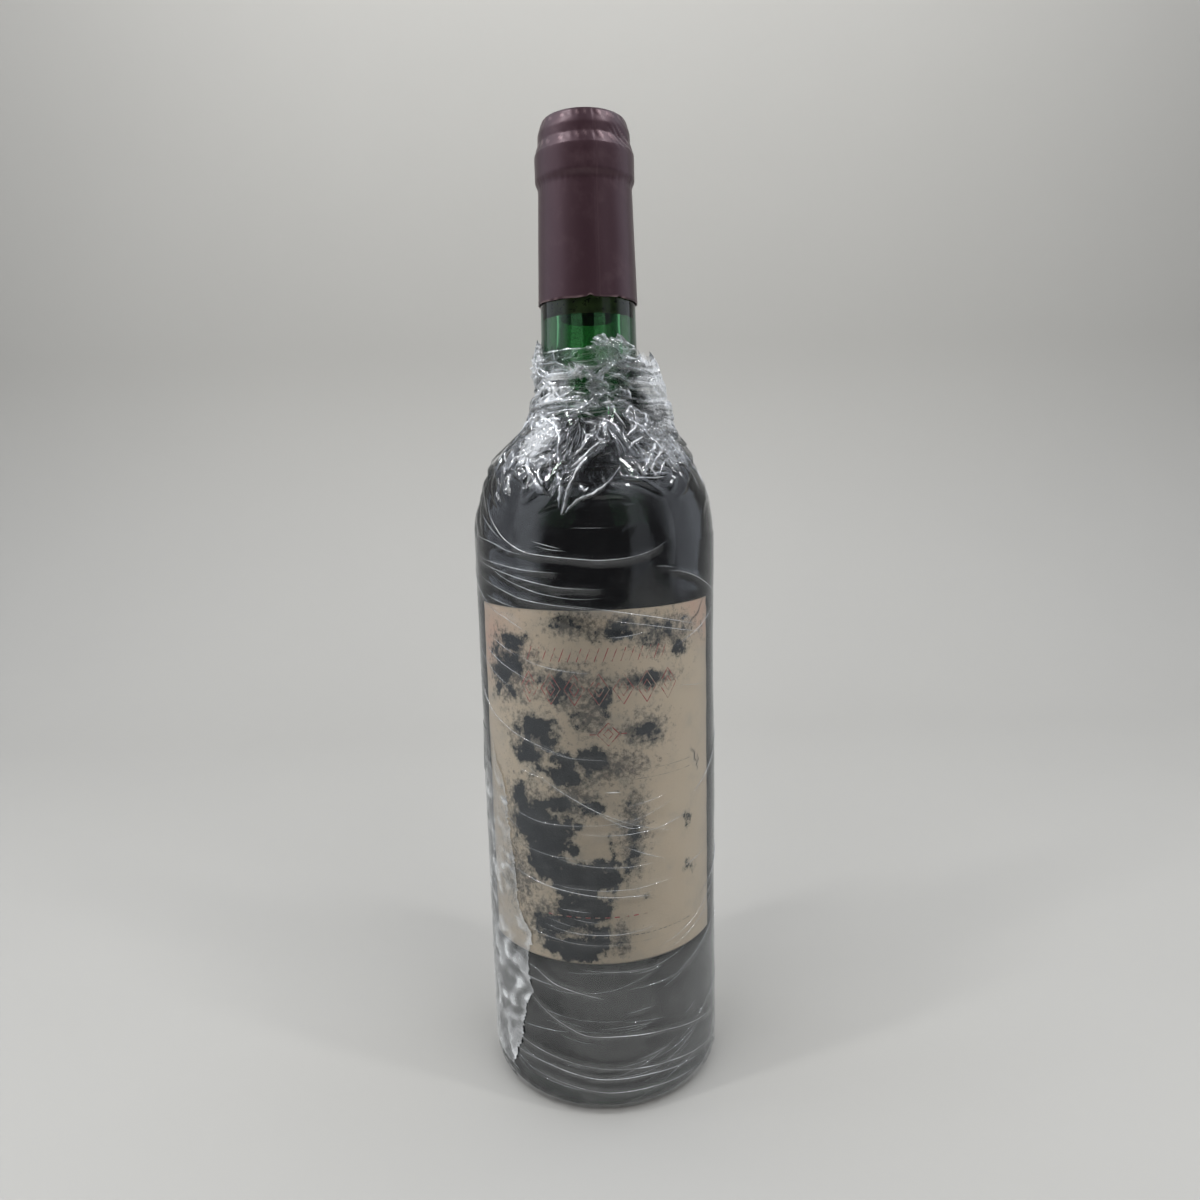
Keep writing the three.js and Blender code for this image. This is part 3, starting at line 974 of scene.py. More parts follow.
# widest reach of the gathered sheet by height, at the left and at the right
gatherHeights = [176, 180, 185, 189, 192, 195, 198, 201, 204, 207, 210.2, 213.3, 216.4, 219.5,
                 222.6, 225.5, 228.5, 231.6, 236]
gatherLeft = [37.9, 37.9, 37.3, 35.8, 35.3, 34.3, 33.1, 32.3, 31, 27, 22, 20.5, 19.2, 19,
              17.6, 16.7, 17.8, 17.6, 17.6]
gatherRight = [37.9, 37.8, 37.2, 36.6, 36, 35, 33.5, 32.6, 30.5, 30, 27.2, 23.8, 24.2, 20.2,
               17.4, 22.1, 20, 17.4, 17.4]
folds = [  # angle, spread in degrees, spare width of the sheet there, height where it starts
    (-40, 12, 1.4, 186), (38, 11, 1.3, 188), (58, 8, 0.7, 196), (-84, 14, 0.5, 204),
    (92, 14, 0.8, 206), (130, 18, 0.9, 198), (-128, 20, 0.9, 198), (178, 20, 0.7, 194),
    (8, 8, 0.5, 204),
]
foldLines = [  # (angle, height) points from the top down, then how far out the fold starts
    ([(20, 208), (8, 198), (-4, 190), (-14, 182)], 3.0),
    ([(-22, 214), (-24, 204), (-20, 196), (-15, 184)], 3.0),
    ([(-48, 216), (-52, 206), (-58, 192)], 2.5),
    ([(48, 214), (46, 206), (42, 197)], 3.0),
    ([(64, 214), (70, 204), (76, 196)], 2.5),
    ([(30, 216), (30, 206), (28, 199)], 2.0),
    ([(94, 229), (92, 224), (92, 216), (90, 212)], 6.0),
]


def spareWidth(angle, height):
    degrees = np.degrees(angle)
    spare = 0.03 * smoothStep(height, 190, 212) + 0 * angle
    for centre, spread, amount, low in folds:
        offset = (degrees - centre + 180) % 360 - 180
        spare = spare + amount * bump(offset, 0, spread) * smoothStep(height, low, 213)
    band = smoothStep(height, 211, 216) * (1 - smoothStep(height, 228, 231))
    above = smoothStep(height, 228, 231)
    return spare * (1 - 0.85 * above) + 0.25 * band


def waver(draw, rows, columns, smooth):
    # smooth random heights between about -1 and 1 that close round the bottle
    field = draw.normal(0, 1, (rows, columns))
    for _ in range(smooth):
        field = (field + np.roll(field, 1, 1) + np.roll(field, -1, 1)) / 3
        field[1:-1] = (field[:-2] + field[1:-1] + field[2:]) / 3
    return field / np.abs(field).max()


def pull(first, second, rest, share=0.5):
    # moves both ends of each link towards its rest length, in place
    gap = second - first
    length = np.sqrt((gap * gap).sum(-1)) + 1e-9
    step = (share * (1 - rest / length))[..., None] * gap
    first += step
    second -= step


def unfold(far, link):
    # opens pairs of links that are folded together too far
    length = np.sqrt((far * far).sum(-1)) + 1e-9
    return (0.25 * np.minimum(1 - film["bendLimit"] * 2 * link / length, 0))[..., None] * far


def settle(points, across, up, level, cap, wall, rounds, still):
    # a sheet that can't stretch, between the glass and the widest reach measured
    before = points.copy()
    hold = 0.02 + 0.25 * smoothStep(level, 226, 231)
    slant = np.sqrt(across[:-1] ** 2 + up ** 2)
    for turn in range(rounds):
        moved = points + 0.86 * (points - before)
        before = points
        points = moved
        for _ in range(3):
            pull(points[:, 0::2], points[:, 1::2], across[:, 0::2])
            pull(points[:, 1:-1:2], points[:, 2::2], across[:, 1:-1:2])
            pull(points[:, -1], points[:, 0], across[:, -1])
            pull(points[0:-1:2], points[1::2], up[0::2])
            pull(points[1:-1:2], points[2::2], up[1::2])
            for sign in (1, -1):
                other = np.roll(points, -sign, 1)
                gap = other[1:] - points[:-1]
                length = np.sqrt((gap * gap).sum(-1)) + 1e-9
                step = (0.12 * (1 - slant / length))[..., None] * gap
                points[:-1] += step
                points[1:] -= np.roll(step, sign, 1)
            step = unfold(np.roll(points, -2, 1) - points, across)
            points += step - np.roll(step, 2, 1)
            step = unfold(points[2:] - points[:-2], up[1:])
            points[:-2] += step
            points[2:] -= step
            radius = np.hypot(points[..., 0], points[..., 1])
            least = wall(points[..., 2])
            held = np.clip(radius, least, np.maximum(cap(points), least))
            points[..., :2] *= (held / radius)[..., None]
            points[..., 2] += hold * (level - points[..., 2])
            points[:1] = still
    return points


def finer(points):
    # twice the rows and columns, halfway points in between
    wide = np.empty((points.shape[0], points.shape[1] * 2, 3))
    wide[:, 0::2] = points
    wide[:, 1::2] = (points + np.roll(points, -1, 1)) / 2
    tall = np.empty((wide.shape[0] * 2, wide.shape[1], 3))
    tall[0::2] = wide
    tall[1:-1:2] = (wide[:-1] + wide[1:]) / 2
    tall[-1] = 2 * wide[-1] - tall[-3]
    return tall


def shoulderOutside():
    outside = outsideProfile()
    return outside[(outside[:, 0] > 14) & (outside[:, 1] > 150)]


def foldSeeds(angle, height):
    # where the large folds start: along lines from one (angle, height) to another
    seed = 0 * (angle + height)
    signed = signedDegrees(angle)
    for path, rise in foldLines:
        across, up = np.array(path, float).T
        centre = np.interp(height, up[::-1], across[::-1])
        low, high = up.min(), up.max()
        ends = smoothStep(height, low - 1, low + 2) * (1 - smoothStep(height, high - 2, high + 1))
        seed = seed + rise * ends * bump(signed, centre, 4.5)
    return seed


pleatLook = {
    # across the pleat: place, height, painted glint
    "profile": [(-1, 0, 0), (-0.4, 0.3, 0.2), (0, 1, 1.6), (0.4, 0.3, 0.2), (1, 0, 0)],
    "lift": 1.1, "step": 0.5, "far": 26, "small": 110,
}

whiteAndGlintPatches = [  # where the film is crumpled white in many layers, with painted highlight where it catches the light: angle, height, spread of each, how much
    (-42, 222, 22, 6.5, 1.25), (-12, 227.5, 14, 2.5, 0.8), (-72, 231, 16, 4.5, 1.0),
    (-56, 214, 14, 4, 0.8), (54, 231, 14, 3.0, 1.0), (86, 223, 20, 8.0, 1.3),
    (-10, 217, 11, 2.0, 0.6), (38, 212, 10, 4, 0.65), (-38, 208, 11, 6, 1.3),
    (-24, 199, 6, 6, 0.75), (52, 206, 17, 6, 0.95), (35, 200, 9, 5, 0.7), (6, 210, 14, 3, 0.7),
    (-90, 214, 14, 6, 0.5), (92, 212, 14, 5, 0.5),
]

clearPatches = [  # where it lies smooth and the glass shows: the same numbers
    (16, 214, 14, 4.5, 0.8), (-12, 223, 14, 3.5, 0.75), (50, 218, 10, 4, 0.75),
    (3, 199, 13, 6, 0.7), (28, 221, 12, 4, 0.65),
]


def patched(level, patches, angle, height):
    signed = signedDegrees(angle)
    for across, up, wide, tall, amount in patches:
        level = np.maximum(level, amount * bump(signed, across, wide) * bump(height, up, tall))
    return level


def whiteAndGlint(angle, height):
    # how white the gathered film is at each point, from its layers and from painted glint; evenly
    # so on the far side
    farSide = smoothStep(np.abs(signedDegrees(angle)), 92, 118) * smoothStep(height, 196, 208)
    return patched(film["plainWhiteAndGlint"] + film["farWhiteAndGlint"] * farSide, whiteAndGlintPatches, angle, height)


def cleared(angle, height):
    return patched(np.zeros_like(height), clearPatches, angle, height)


def topEdge(angle):
    # the sheet's upper edge: level at the front, with a standing flap and a torn tip
    signed = signedDegrees(angle)
    edge = film["top"] + 2.6 * bump(signed, 24, 15) + 2.4 * bump(signed, -80, 9)
    return edge + 0.5 * np.sin(5 * angle + 1) * (np.abs(signed) > 60)


def gatheredSheet():
    draw = np.random.default_rng(film["seed"])
    outside = shoulderOutside()
    run = np.concatenate([[0], np.cumsum(np.hypot(*np.diff(outside, axis=0).T))])
    start = np.interp(film["join"], outside[:, 1], run)

    def wall(height):
        return np.interp(height, outside[:, 1], outside[:, 0]) + film["gap"]

    def cap(points):
        side = 0.5 + 0.5 * points[..., 0] / (np.hypot(points[..., 0], points[..., 1]) + 1e-9)
        left = np.interp(points[..., 2], gatherHeights, gatherLeft)
        right = np.interp(points[..., 2], gatherHeights, gatherRight)
        return left + (right - left) * side

    def lengths(rows, columns, grown):
        angle = np.linspace(0, 2 * np.pi, columns, endpoint=False)[None, :]
        end = np.interp(topEdge(angle), outside[:, 1], run)
        travel = start + (end - start) * np.linspace(0, 1, rows)[:, None]
        height = np.interp(travel, run, outside[:, 1])
        radius = np.interp(travel, run, outside[:, 0]) + 0.6
        across = 2 * np.pi * radius / columns * (1 + grown * spareWidth(angle + 0 * height, height))
        crush = 0.75 * smoothStep(height, 211, 216) * (1 - smoothStep(height, 229, 232))
        crush = crush + 0.10 * smoothStep(height, 190, 205)
        up = (end - start) / (rows - 1) * (1 + grown * crush)
        return angle, height, radius, across, (up[1:] + up[:-1]) / 2

    points = None
    for level, rounds in enumerate(film["growRounds"]):
        share = 2 ** (len(film["growRounds"]) - 1 - level)
        rows, columns = film["shoulderRows"] // share, film["columns"] // share
        angle, height, radius, across, up = lengths(rows, columns, 0.0)
        free = smoothStep(height, film["join"], film["join"] + 14)
        edge = aroundAxis(bodySheet(angle, height[:1])[0], angle, height[:1])
        if points is None:
            lift = 0.8 + 1.0 * waver(draw, rows, columns, 2) + foldSeeds(angle, height)
            points = aroundAxis(radius + free * lift, angle + 0 * height, height)
            grown = np.linspace(0.1, 1, 10)
        else:
            points = finer(points)
            points = points + (0.1 * free * waver(draw, rows, columns, 1))[..., None]
            grown = [1.0]
        rounds = rounds
        for amount in grown:
            across, up = lengths(rows, columns, amount)[3:]
            points = settle(points, across, up, height, cap, wall, rounds // len(grown), edge)
    return points


def sharpness(points):
    # how sharply the sheet is folded at each point, 0 to 1
    mean = (np.roll(points, 1, 1) + np.roll(points, -1, 1)) / 2
    across = np.linalg.norm(points - mean, axis=-1)
    tall = np.zeros_like(across)
    tall[1:-1] = np.linalg.norm(points[1:-1] - (points[2:] + points[:-2]) / 2, axis=-1)
    return smoothStep(np.hypot(across, tall), *film["sharp"])


filmLook = {
    "colour": (0.90, 0.92, 0.93, 1), "roughness": 0.09, "metallic": 0.92, "bends": 1.45,
    "haze": 0.014, "creaseCover": 0.6, "layerCover": 0.26,  # how much of it covers what lies behind; the cover at creases is painted glint
    "matt": 0.28, "milky": 0.28,  # how much less it mirrors at creases, where a matt white is painted glint, and where layers overlap
    "waves": 90.0,
}


def makeFilmMaterial():
    material, tree, shader = newMaterial("clingingFilm")
    where = objectSpace(tree)
    shader.inputs["Base Color"].default_value = filmLook["colour"]
    mist = spots(tree, where, 220, 0.4, 0.75)
    tree.links.new(math2(tree, "MULTIPLY_ADD", mist, 0.1, filmLook["roughness"]),
                   shader.inputs["Roughness"])
    # creases are made whiter and more covering: painted glint along the folds
    broken = math2(tree, "MULTIPLY_ADD", noise(tree, where, 1400.0, 3.0), 1.2, 0.3)
    crease = math2(tree, "MULTIPLY", readAttribute(tree, "crease"), broken)
    matt = math2(tree, "MULTIPLY", crease, filmLook["matt"], clamp=True)
    crease = math2(tree, "MULTIPLY", crease, filmLook["creaseCover"])
    layers = readAttribute(tree, "layers")
    layer = math2(tree, "MULTIPLY", layers, filmLook["layerCover"])
    shine = math2(tree, "MULTIPLY_ADD", layers, -filmLook["milky"], filmLook["metallic"],
                  clamp=True)
    tree.links.new(math2(tree, "SUBTRACT", shine, matt, clamp=True), shader.inputs["Metallic"])
    edge = put(tree, "ShaderNodeFresnel", {"IOR": filmLook["bends"]}).outputs["Fac"]
    cover = math2(tree, "ADD", math2(tree, "ADD", edge, crease), layer)
    haze = math2(tree, "MULTIPLY_ADD", mist, 0.02, filmLook["haze"])
    cover = math2(tree, "ADD", cover, haze, clamp=True)
    smooth = math2(tree, "SUBTRACT", 1.0, readAttribute(tree, "clear"))
    tree.links.new(math2(tree, "MULTIPLY", cover, smooth), shader.inputs["Alpha"])
    setBump(tree, shader, noise(tree, where, filmLook["waves"], 1.0), 0.08, 0.0006)
    return material


filmMaterial = makeFilmMaterial()

# threads along the sheet's sharp folds, painted with glint
ridges = {"foldAngle": 62.0, "leastLength": 2.2, "thickness": 0.055, "glintStrength": 4.0}


def makeFilmSheet():
    # one sheet: the part that hugs the body, then the gathered part
    angle = np.linspace(0, 2 * np.pi, film["columns"], endpoint=False)[None, :]
    height = np.linspace(film["low"], film["join"], film["bodyRows"])[:-1, None]
    angle, height = angle + 0 * height, height + 0 * angle
    radius, glint = bodySheet(angle, height)
    gathered = gatheredSheet()
    turn = np.arctan2(gathered[..., 0], -gathered[..., 1])
    # painted glint: faint on the body's creases, stronger on the gathered part's sharp folds
    glint = np.concatenate([0.15 * glint, sharpness(gathered) * whiteAndGlint(turn, gathered[..., 2])
                            * smoothStep(gathered[..., 2], 180, 190)])
    points = np.concatenate([aroundAxis(radius, angle, height), gathered])
    turn, level = np.arctan2(points[..., 0], -points[..., 1]), points[..., 2]
    # overlapping layers, with painted highlight on the same patches
    layers = smoothStep(level, 208, 216) * smoothStep(-level, -232, -228) * whiteAndGlint(turn, level)
    lowHaze = 0.12 + 0.22 * bump(turn, 0.96, 0.52) + 0.10 * np.abs(np.sin(level / 5 + 1.9 * turn))
    layers = layers + lowHaze * smoothStep(-level, -54, -44)
    values = {"crease": glint, "layers": layers, "clear": cleared(turn, level)}
    mesh = meshFrom("filmSheet", points, gridFaces(len(points), film["columns"], True), values)
    makeRidges(mesh)
    return place("film_sheet", mesh, filmMaterial, "film")


def ridgeTree():
    # finds the sharp folds of a sheet and lays a fine smooth thread along each, painted with glint
    tree, keys, given, result = newShapeTree("ridges", [
        ("Fold Angle", "NodeSocketFloat"), ("Least Length", "NodeSocketFloat"),
        ("Thickness", "NodeSocketFloat"), ("Glint Strength", "NodeSocketFloat"),
        ("Material", "NodeSocketMaterial")])

    def compare(operation, first, second):
        return put(tree, "FunctionNodeCompare", {0: first, 1: second}, data_type="FLOAT",
                   operation=operation).outputs[0]

    edgeAngle = put(tree, "GeometryNodeInputMeshEdgeAngle").outputs["Unsigned Angle"]
    sharp = compare("GREATER_THAN", edgeAngle, given["Fold Angle"])
    curve = put(tree, "GeometryNodeMeshToCurve", {"Mesh": given["Geometry"], "Selection": sharp})
    length = put(tree, "GeometryNodeSplineLength").outputs["Length"]
    short = compare("LESS_THAN", length, given["Least Length"])
    kept = put(tree, "GeometryNodeDeleteGeometry", {"Geometry": curve.outputs[0],
                                                    "Selection": short}, domain="CURVE")
    where = put(tree, "GeometryNodeInputPosition").outputs[0]
    smooth = put(tree, "GeometryNodeBlurAttribute", {"Value": where, "Iterations": 4},
                 data_type="FLOAT_VECTOR")
    moved = put(tree, "GeometryNodeSetPosition", {"Geometry": kept.outputs[0],
                                                  "Position": smooth.outputs[0]})
    along = put(tree, "GeometryNodeSplineParameter").outputs["Factor"]
    taper = math2(tree, "SINE", math2(tree, "MULTIPLY_ADD", along, 2.9, 0.12))
    radius = math2(tree, "MULTIPLY", taper, given["Thickness"])
    # painted glint along the thread
    glint = math2(tree, "MULTIPLY_ADD", namedValue(tree, "crease"), given["Glint Strength"], 0.25)
    marked = put(tree, "GeometryNodeStoreNamedAttribute", {
        "Geometry": tube(tree, moved.outputs[0], 3, radius), "Name": "crease", "Value": glint},
        data_type="FLOAT", domain="POINT")
    dress(tree, marked.outputs[0], given["Material"], result)
    return tree, keys


def makeRidges(sheet):
    tree, keys = ridgeTree()
    wanted = (math.radians(ridges["foldAngle"]), ridges["leastLength"] * mm,
              ridges["thickness"] * mm, ridges["glintStrength"], filmMaterial)
    mesh = bakeNodes("ridges", sheet.copy(), tree, dict(zip(keys, wanted)))
    return place("film_ridges", mesh, filmMaterial, "film")


def bodySheetAt(angle, height):
    # radius of the sheet at single points
    shoulder = np.interp(height, gatherHeights, np.array(gatherLeft) - gatherLeft[0])
    return film["radius"] + slackAt(angle, height) + 0.18 + np.minimum(shoulder, 0)


def makeCreaseLines():
    lines = []
    for path, rise, strength in allPaths:
        across, up = np.array(path, float).T
        steps = max(6, int((across[-1] - across[0]) * 0.66 / 1.6))
        turn = np.linspace(across[0], across[-1], steps)
        height = np.interp(turn, across, up)
        for _ in range(2):
            height[1:-1] = (height[:-2] + 2 * height[1:-1] + height[2:]) / 4
        angle = np.radians(turn)
        taper = np.sin(np.linspace(0.12, np.pi - 0.12, steps)) ** 0.7
        # thin threads along the creases, painted with glint
        lines.append((aroundAxis(bodySheetAt(angle, height), angle, height),
                      taper * (0.5 + 0.6 * strength), 2.3 * taper * strength))
    mesh = threads("creases", lines, film["lineThickness"], 5, filmMaterial, "crease")
    return place("film_creases", mesh, filmMaterial, "film")


pleats = [  # pinched folds: (angle, height) points along each, then its width and rise
    ([(-53, 206.9), (-39, 202.6), (-33, 197.8), (-27, 193.8), (-20, 191.8)], 1.7, 1.1),
    ([(-70, 215.5), (-72, 211.5), (-58, 207.6), (-44, 203.3)], 1.4, 1),
    ([(-60, 215.8), (-42, 213.3), (-28, 210.7), (-21, 207.4), (-20, 204), (-18, 200.3),
      (-14, 197.6)], 1.5, 1.2),
    ([(-71, 214.2), (-44, 211.6), (-32, 208.6), (-30, 205.2)], 1.6, 1.1),
    ([(-25, 203.1), (-22, 199.7), (-22, 197)], 1.5, 0.9),
    ([(-15, 188.2), (-14, 191.8), (-16, 195.1), (-18, 198.4)], 1.1, 0.8),
    ([(-26, 200.4), (-29, 197.8), (-24, 194.3)], 1.0, 0.7),
    ([(-13, 201.3), (-8, 203.5), (-2, 206.8), (5, 209.2)], 1.5, 1.1),
    ([(-11, 199.1), (-6, 201.2), (1, 204.6), (8, 207)], 1.2, 0.9),
    ([(-14, 186.2), (-12, 189.8), (-11, 193.7), (-8, 198.2), (-3, 201.5), (5, 204.7),
      (16, 206.6)], 1.2, 1.3),
    ([(-12, 186.7), (-7, 190.3), (-1, 191.5), (5, 193.5), (10, 196.3), (15, 199.4)], 0.9, 0.8),
    ([(-6, 194.6), (-4, 192.2), (-2, 193.6)], 1.0, 0.6),
    ([(-16, 197.3), (-11, 197.5), (-7, 199.5)], 1.0, 0.8),
    ([(-6, 212.4), (3, 212), (12, 210.8), (19, 208.7), (23, 205.9)], 1.6, 1.1),
    ([(6, 213.2), (16, 211.6), (21, 208.6)], 1.2, 0.8),
    ([(40, 217.2), (33, 213.7), (33, 210.2), (24, 206.9)], 1.5, 1.2),
    ([(46, 216.6), (41, 212.3), (29, 208)], 1.3, 1.1),
    ([(59, 216), (52, 211.7), (37, 208.5)], 1.2, 1),
    ([(62, 215), (55, 211), (66, 212.5), (74, 211.5), (72, 206.5), (58, 202.1)], 1.3, 1.1),
    ([(72, 213.8), (79, 210.4), (75, 205.9), (57, 201.5)], 1.0, 0.8),
    ([(25, 196.6), (29, 199), (35, 202.4), (45, 205.8), (68, 208.9)], 1.4, 1),
    ([(30, 196.8), (35, 199.6), (43, 203.5), (54, 205.8)], 1.2, 0.9),
    ([(24, 201.8), (25, 198.4), (26, 196.7)], 1.2, 0.9),
    ([(36, 196.9), (41, 199.6), (48, 202.3)], 0.9, 0.6),
    ([(22, 203.8), (28, 205.8), (36, 207.2), (40, 206.9)], 1.4, 1),
    ([(25, 196.6), (34, 196.6), (43, 197)], 0.7, 0.4),
    ([(12, 196.8), (22, 195.8), (30, 195.5), (38, 195.9)], 0.6, 0.3),
    ([(-84, 207.3), (-76, 204.4), (-68, 200.8), (-63, 196.6)], 0.8, 0.5),
    ([(-60, 204.9), (-50, 202), (-51, 198.5)], 0.8, 0.5),
    ([(-77, 205.1), (-55, 200.7), (-54, 197.1)], 0.7, 0.4),
    ([(-54, 229.3), (-62, 226.7), (-42, 223.4), (-28, 225.2), (-16, 226.4), (2, 228.3)], 1.6, 1.1),
    ([(-29, 223), (-22, 225.1), (-9, 225.7), (4, 224.9), (9, 222.6)], 0.9, 0.7),
    ([(-26, 222.3), (-17, 220.8), (-4, 220.3), (8, 222.3)], 1.0, 0.7),
    ([(-69, 219.1), (-42, 219.2), (-25, 218.8), (-11, 219.4), (6, 220)], 1.3, 0.9),
    ([(-22, 216.1), (-10, 215.3), (3, 216.4), (16, 217.2), (38, 218.6)], 0.8, 0.6),
    ([(-40, 212.8), (-22, 212.6), (-12, 215.2)], 1.0, 0.8),
    ([(-12, 215.3), (-6, 212.1), (0, 211)], 1.2, 0.9),
    ([(53, 225.2), (40, 221.5), (45, 218.6)], 1.2, 0.9),
    ([(9, 228.2), (26, 229), (46, 230.7), (62, 229.6)], 1.3, 1),
    ([(14, 224.8), (31, 225.6), (49, 227.2)], 1.1, 0.7),
    ([(17, 219.9), (31, 221.4), (46, 220.7)], 1.0, 0.7),
    ([(5, 229.6), (10, 233), (23, 235.8), (38, 235.4), (50, 234.7), (66, 233.4),
      (80, 232.2)], 0.6, 0.4),
    ([(-60, 233), (-28, 233.1), (-10, 233.2), (8, 233)], 0.5, 0.25),
    ([(-62, 229.5), (-70, 232.5), (-84, 235.6)], 0.8, 0.6),
    ([(74, 227), (84, 221), (88, 214), (86, 206)], 1.0, 0.6),
    ([(84, 206), (84, 199), (83, 192), (82, 186)], 0.7, 0.3),
    ([(74, 205), (76, 197), (76, 190)], 0.6, 0.3),
]


def morePleats(draw):
    # the same kind of folds on the far side, and small ones where the film is whitest and painted
    # with the most glint
    paths = []
    for _ in range(pleatLook["far"]):
        across, low = draw.uniform(94, 266), draw.uniform(198, 215)
        lean, tall = draw.normal(0, 12), draw.uniform(4, 11)
        bend = draw.normal(0, 4, 4)
        path = [(across + lean * k / 3 + bend[k], low + tall * k / 3) for k in range(4)]
        paths.append((path, draw.uniform(0.7, 1.5), draw.uniform(0.2, 0.5)))
    for _ in range(pleatLook["small"]):
        across, up, wide, tall, amount = whiteAndGlintPatches[draw.integers(len(whiteAndGlintPatches))]
        across, up = across + draw.normal(0, 0.6) * wide, up + draw.normal(0, 0.6) * tall
        turn, reach = draw.uniform(0, math.pi), draw.uniform(1.2, 3.2)
        bend = draw.normal(0, 0.5, 5)
        path = []
        for k in range(-2, 3):
            rise = up + k * reach / 2 * math.sin(turn) - 0.3 * bend[k + 2]
            path.append((across + 2.2 * k * reach / 2 * math.cos(turn) + bend[k + 2],
                         min(rise, film["top"])))
        paths.append((path, draw.uniform(0.3, 0.8), draw.uniform(0.3, 0.9)))
    return paths


def makePleats():
    draw = np.random.default_rng(film["seed"] + 5)
    outside = shoulderOutside()
    points, faces, creases, count = [], [], [], 0
    profile = np.array(pleatLook["profile"], float)
    for path, width, rise in pleats + morePleats(draw):
        across, up = np.array(path, float).T
        run = np.concatenate([[0], np.cumsum(np.hypot(0.5 * np.diff(across), np.diff(up)))])
        steps = max(8, int(run[-1] / pleatLook["step"]))
        along = np.linspace(0, run[-1], steps)
        angle, height = np.radians(np.interp(along, run, across)), np.interp(along, run, up)
        for _ in range(4):
            for row in (angle, height):
                row[1:-1] = (row[:-2] + 2 * row[1:-1] + row[2:]) / 4
        base = np.interp(height, outside[:, 1], outside[:, 0]) + pleatLook["lift"]
        spine = aroundAxis(base, angle, height)
        ahead = np.gradient(spine, axis=0)
        ahead /= np.linalg.norm(ahead, axis=1)[:, None]
        out = np.stack([np.sin(angle), -np.cos(angle), 0.45 + 0 * angle], 1)
        side = np.cross(ahead, out)
        side /= np.linalg.norm(side, axis=1)[:, None]
        taper = np.sin(np.linspace(0.05, np.pi - 0.05, steps)) ** 0.6
        uneven = [np.convolve(draw.normal(0, 1, steps + 6), np.ones(7) / 3, "valid")
                  for _ in range(3)]
        wide = width * taper * (1 + 0.3 * uneven[0])
        tall = rise * taper * (1 + 0.3 * uneven[1])
        shift = 0.35 * width * uneven[2]
        offset = profile[None, :, 0] * wide[:, None] + (profile[:, 1] * shift[:, None])
        piece = spine[:, None] + side[:, None] * offset[..., None]
        piece = piece + out[:, None] * (profile[None, :, 1] * tall[:, None])[..., None]
        points.append(piece.reshape(-1, 3))
        faces.append(gridFaces(steps, len(profile), False) + count)
        # painted glint along each pleat, uneven
        patchy = np.clip(0.8 + 0.6 * uneven[1], 0.15, 1.4) * (0.35 + 0.65 * taper)
        creases.append((profile[None, :, 2] * patchy[:, None]).ravel())
        count += steps * len(profile)
    creases = np.concatenate(creases)
    mesh = meshFrom("pleats", np.concatenate(points), np.concatenate(faces),
                    {"crease": creases, "layers": 0.25 * creases})
    return place("film_pleats", mesh, filmMaterial, "film")


veil = {  # the wound sheet's loose end: its ragged edge as (angle, height), from the top down
    "edge": [(-62, 118), (-50, 103), (-47.5, 88.5), (-45, 76), (-42.6, 64), (-35.6, 58),
             (-38.6, 46), (-37, 38.7), (-42, 28), (-47, 17), (-52, 8)],
    "back": -118.0,
    "lift": 0.12,
    "rows": 150,
    "columns": 70,
    "crumple": 0.34,
}


def makeVeil():
    draw = np.random.default_rng(film["seed"] + 1)
    rows, columns = veil["rows"], veil["columns"]
    edge = np.array(veil["edge"], float)
    height = np.linspace(edge[-1, 1], edge[0, 1], rows)[:, None]
    front = np.interp(height, edge[::-1, 1], edge[::-1, 0])
    front = front + 0.8 * np.sin(height / 1.9) * np.sin(height / 4.7)
    front = front + 0.5 * draw.normal(0, 1, (rows, 1))
    t = np.linspace(0, 1, columns)[None, :]
    angle = np.radians(veil["back"] + (front - veil["back"]) * t)
    height = height + 0 * t
    rough = blurred(draw.normal(0, 1, (rows, columns)), 3)
    folds = np.abs(np.sin(height / 5.5 + 9 * angle + 4 * rough)) ** 3
    fade = smoothStep(t, 0.1, 0.75) * smoothStep(-height, -118, -96)
    rise = veil["crumple"] * (0.5 * folds + np.clip(1.2 * rough, -0.5, 0.8)) + veil["lift"]
    rise = rise * smoothStep(t, 0, 0.3) * smoothStep(-height, -118, -108)
    radius = bodySheetAt(angle, height) - 0.12 + rise
    # painted glint along the folds and along the torn edge
    crease = 0.7 * folds * fade * smoothStep(rough, -0.1, 0.4) + 0.3 * bump(t, 1, 0.02)
    fade = fade * (0.45 + 0.55 * smoothStep(rough, -0.25, 0.35))
    fade = fade * (1 - 0.4 * smoothStep(height, 46, 60))
    mesh = meshFrom("veil", aroundAxis(radius, angle, height), gridFaces(rows, columns, False),
                    {"crease": np.clip(crease, 0, 1), "layers": 1.3 * fade})
    return place("film_loose_end", mesh, filmMaterial, "film")


scraps = [  # angles, heights, bulge from the sheet below, fineness of the crumpling, cover
    ("film_bulge", (54, 126), (209.5, 231.5), 7.4, 0.8, 1.9),
    ("film_tip", (-104, -62), (222.0, 236.2), 1.6, 1.2, 1.8),
    ("film_flap", (3, 50), (227.0, 236.4), 1.3, 0.2, 0.4),
    ("film_crumple_left", (-54, -24), (200.0, 213.5), 1.3, 1.1, 1.9),
    ("film_crumple_right", (34, 66), (199.0, 212.0), 1.2, 1.0, 0.7),
]


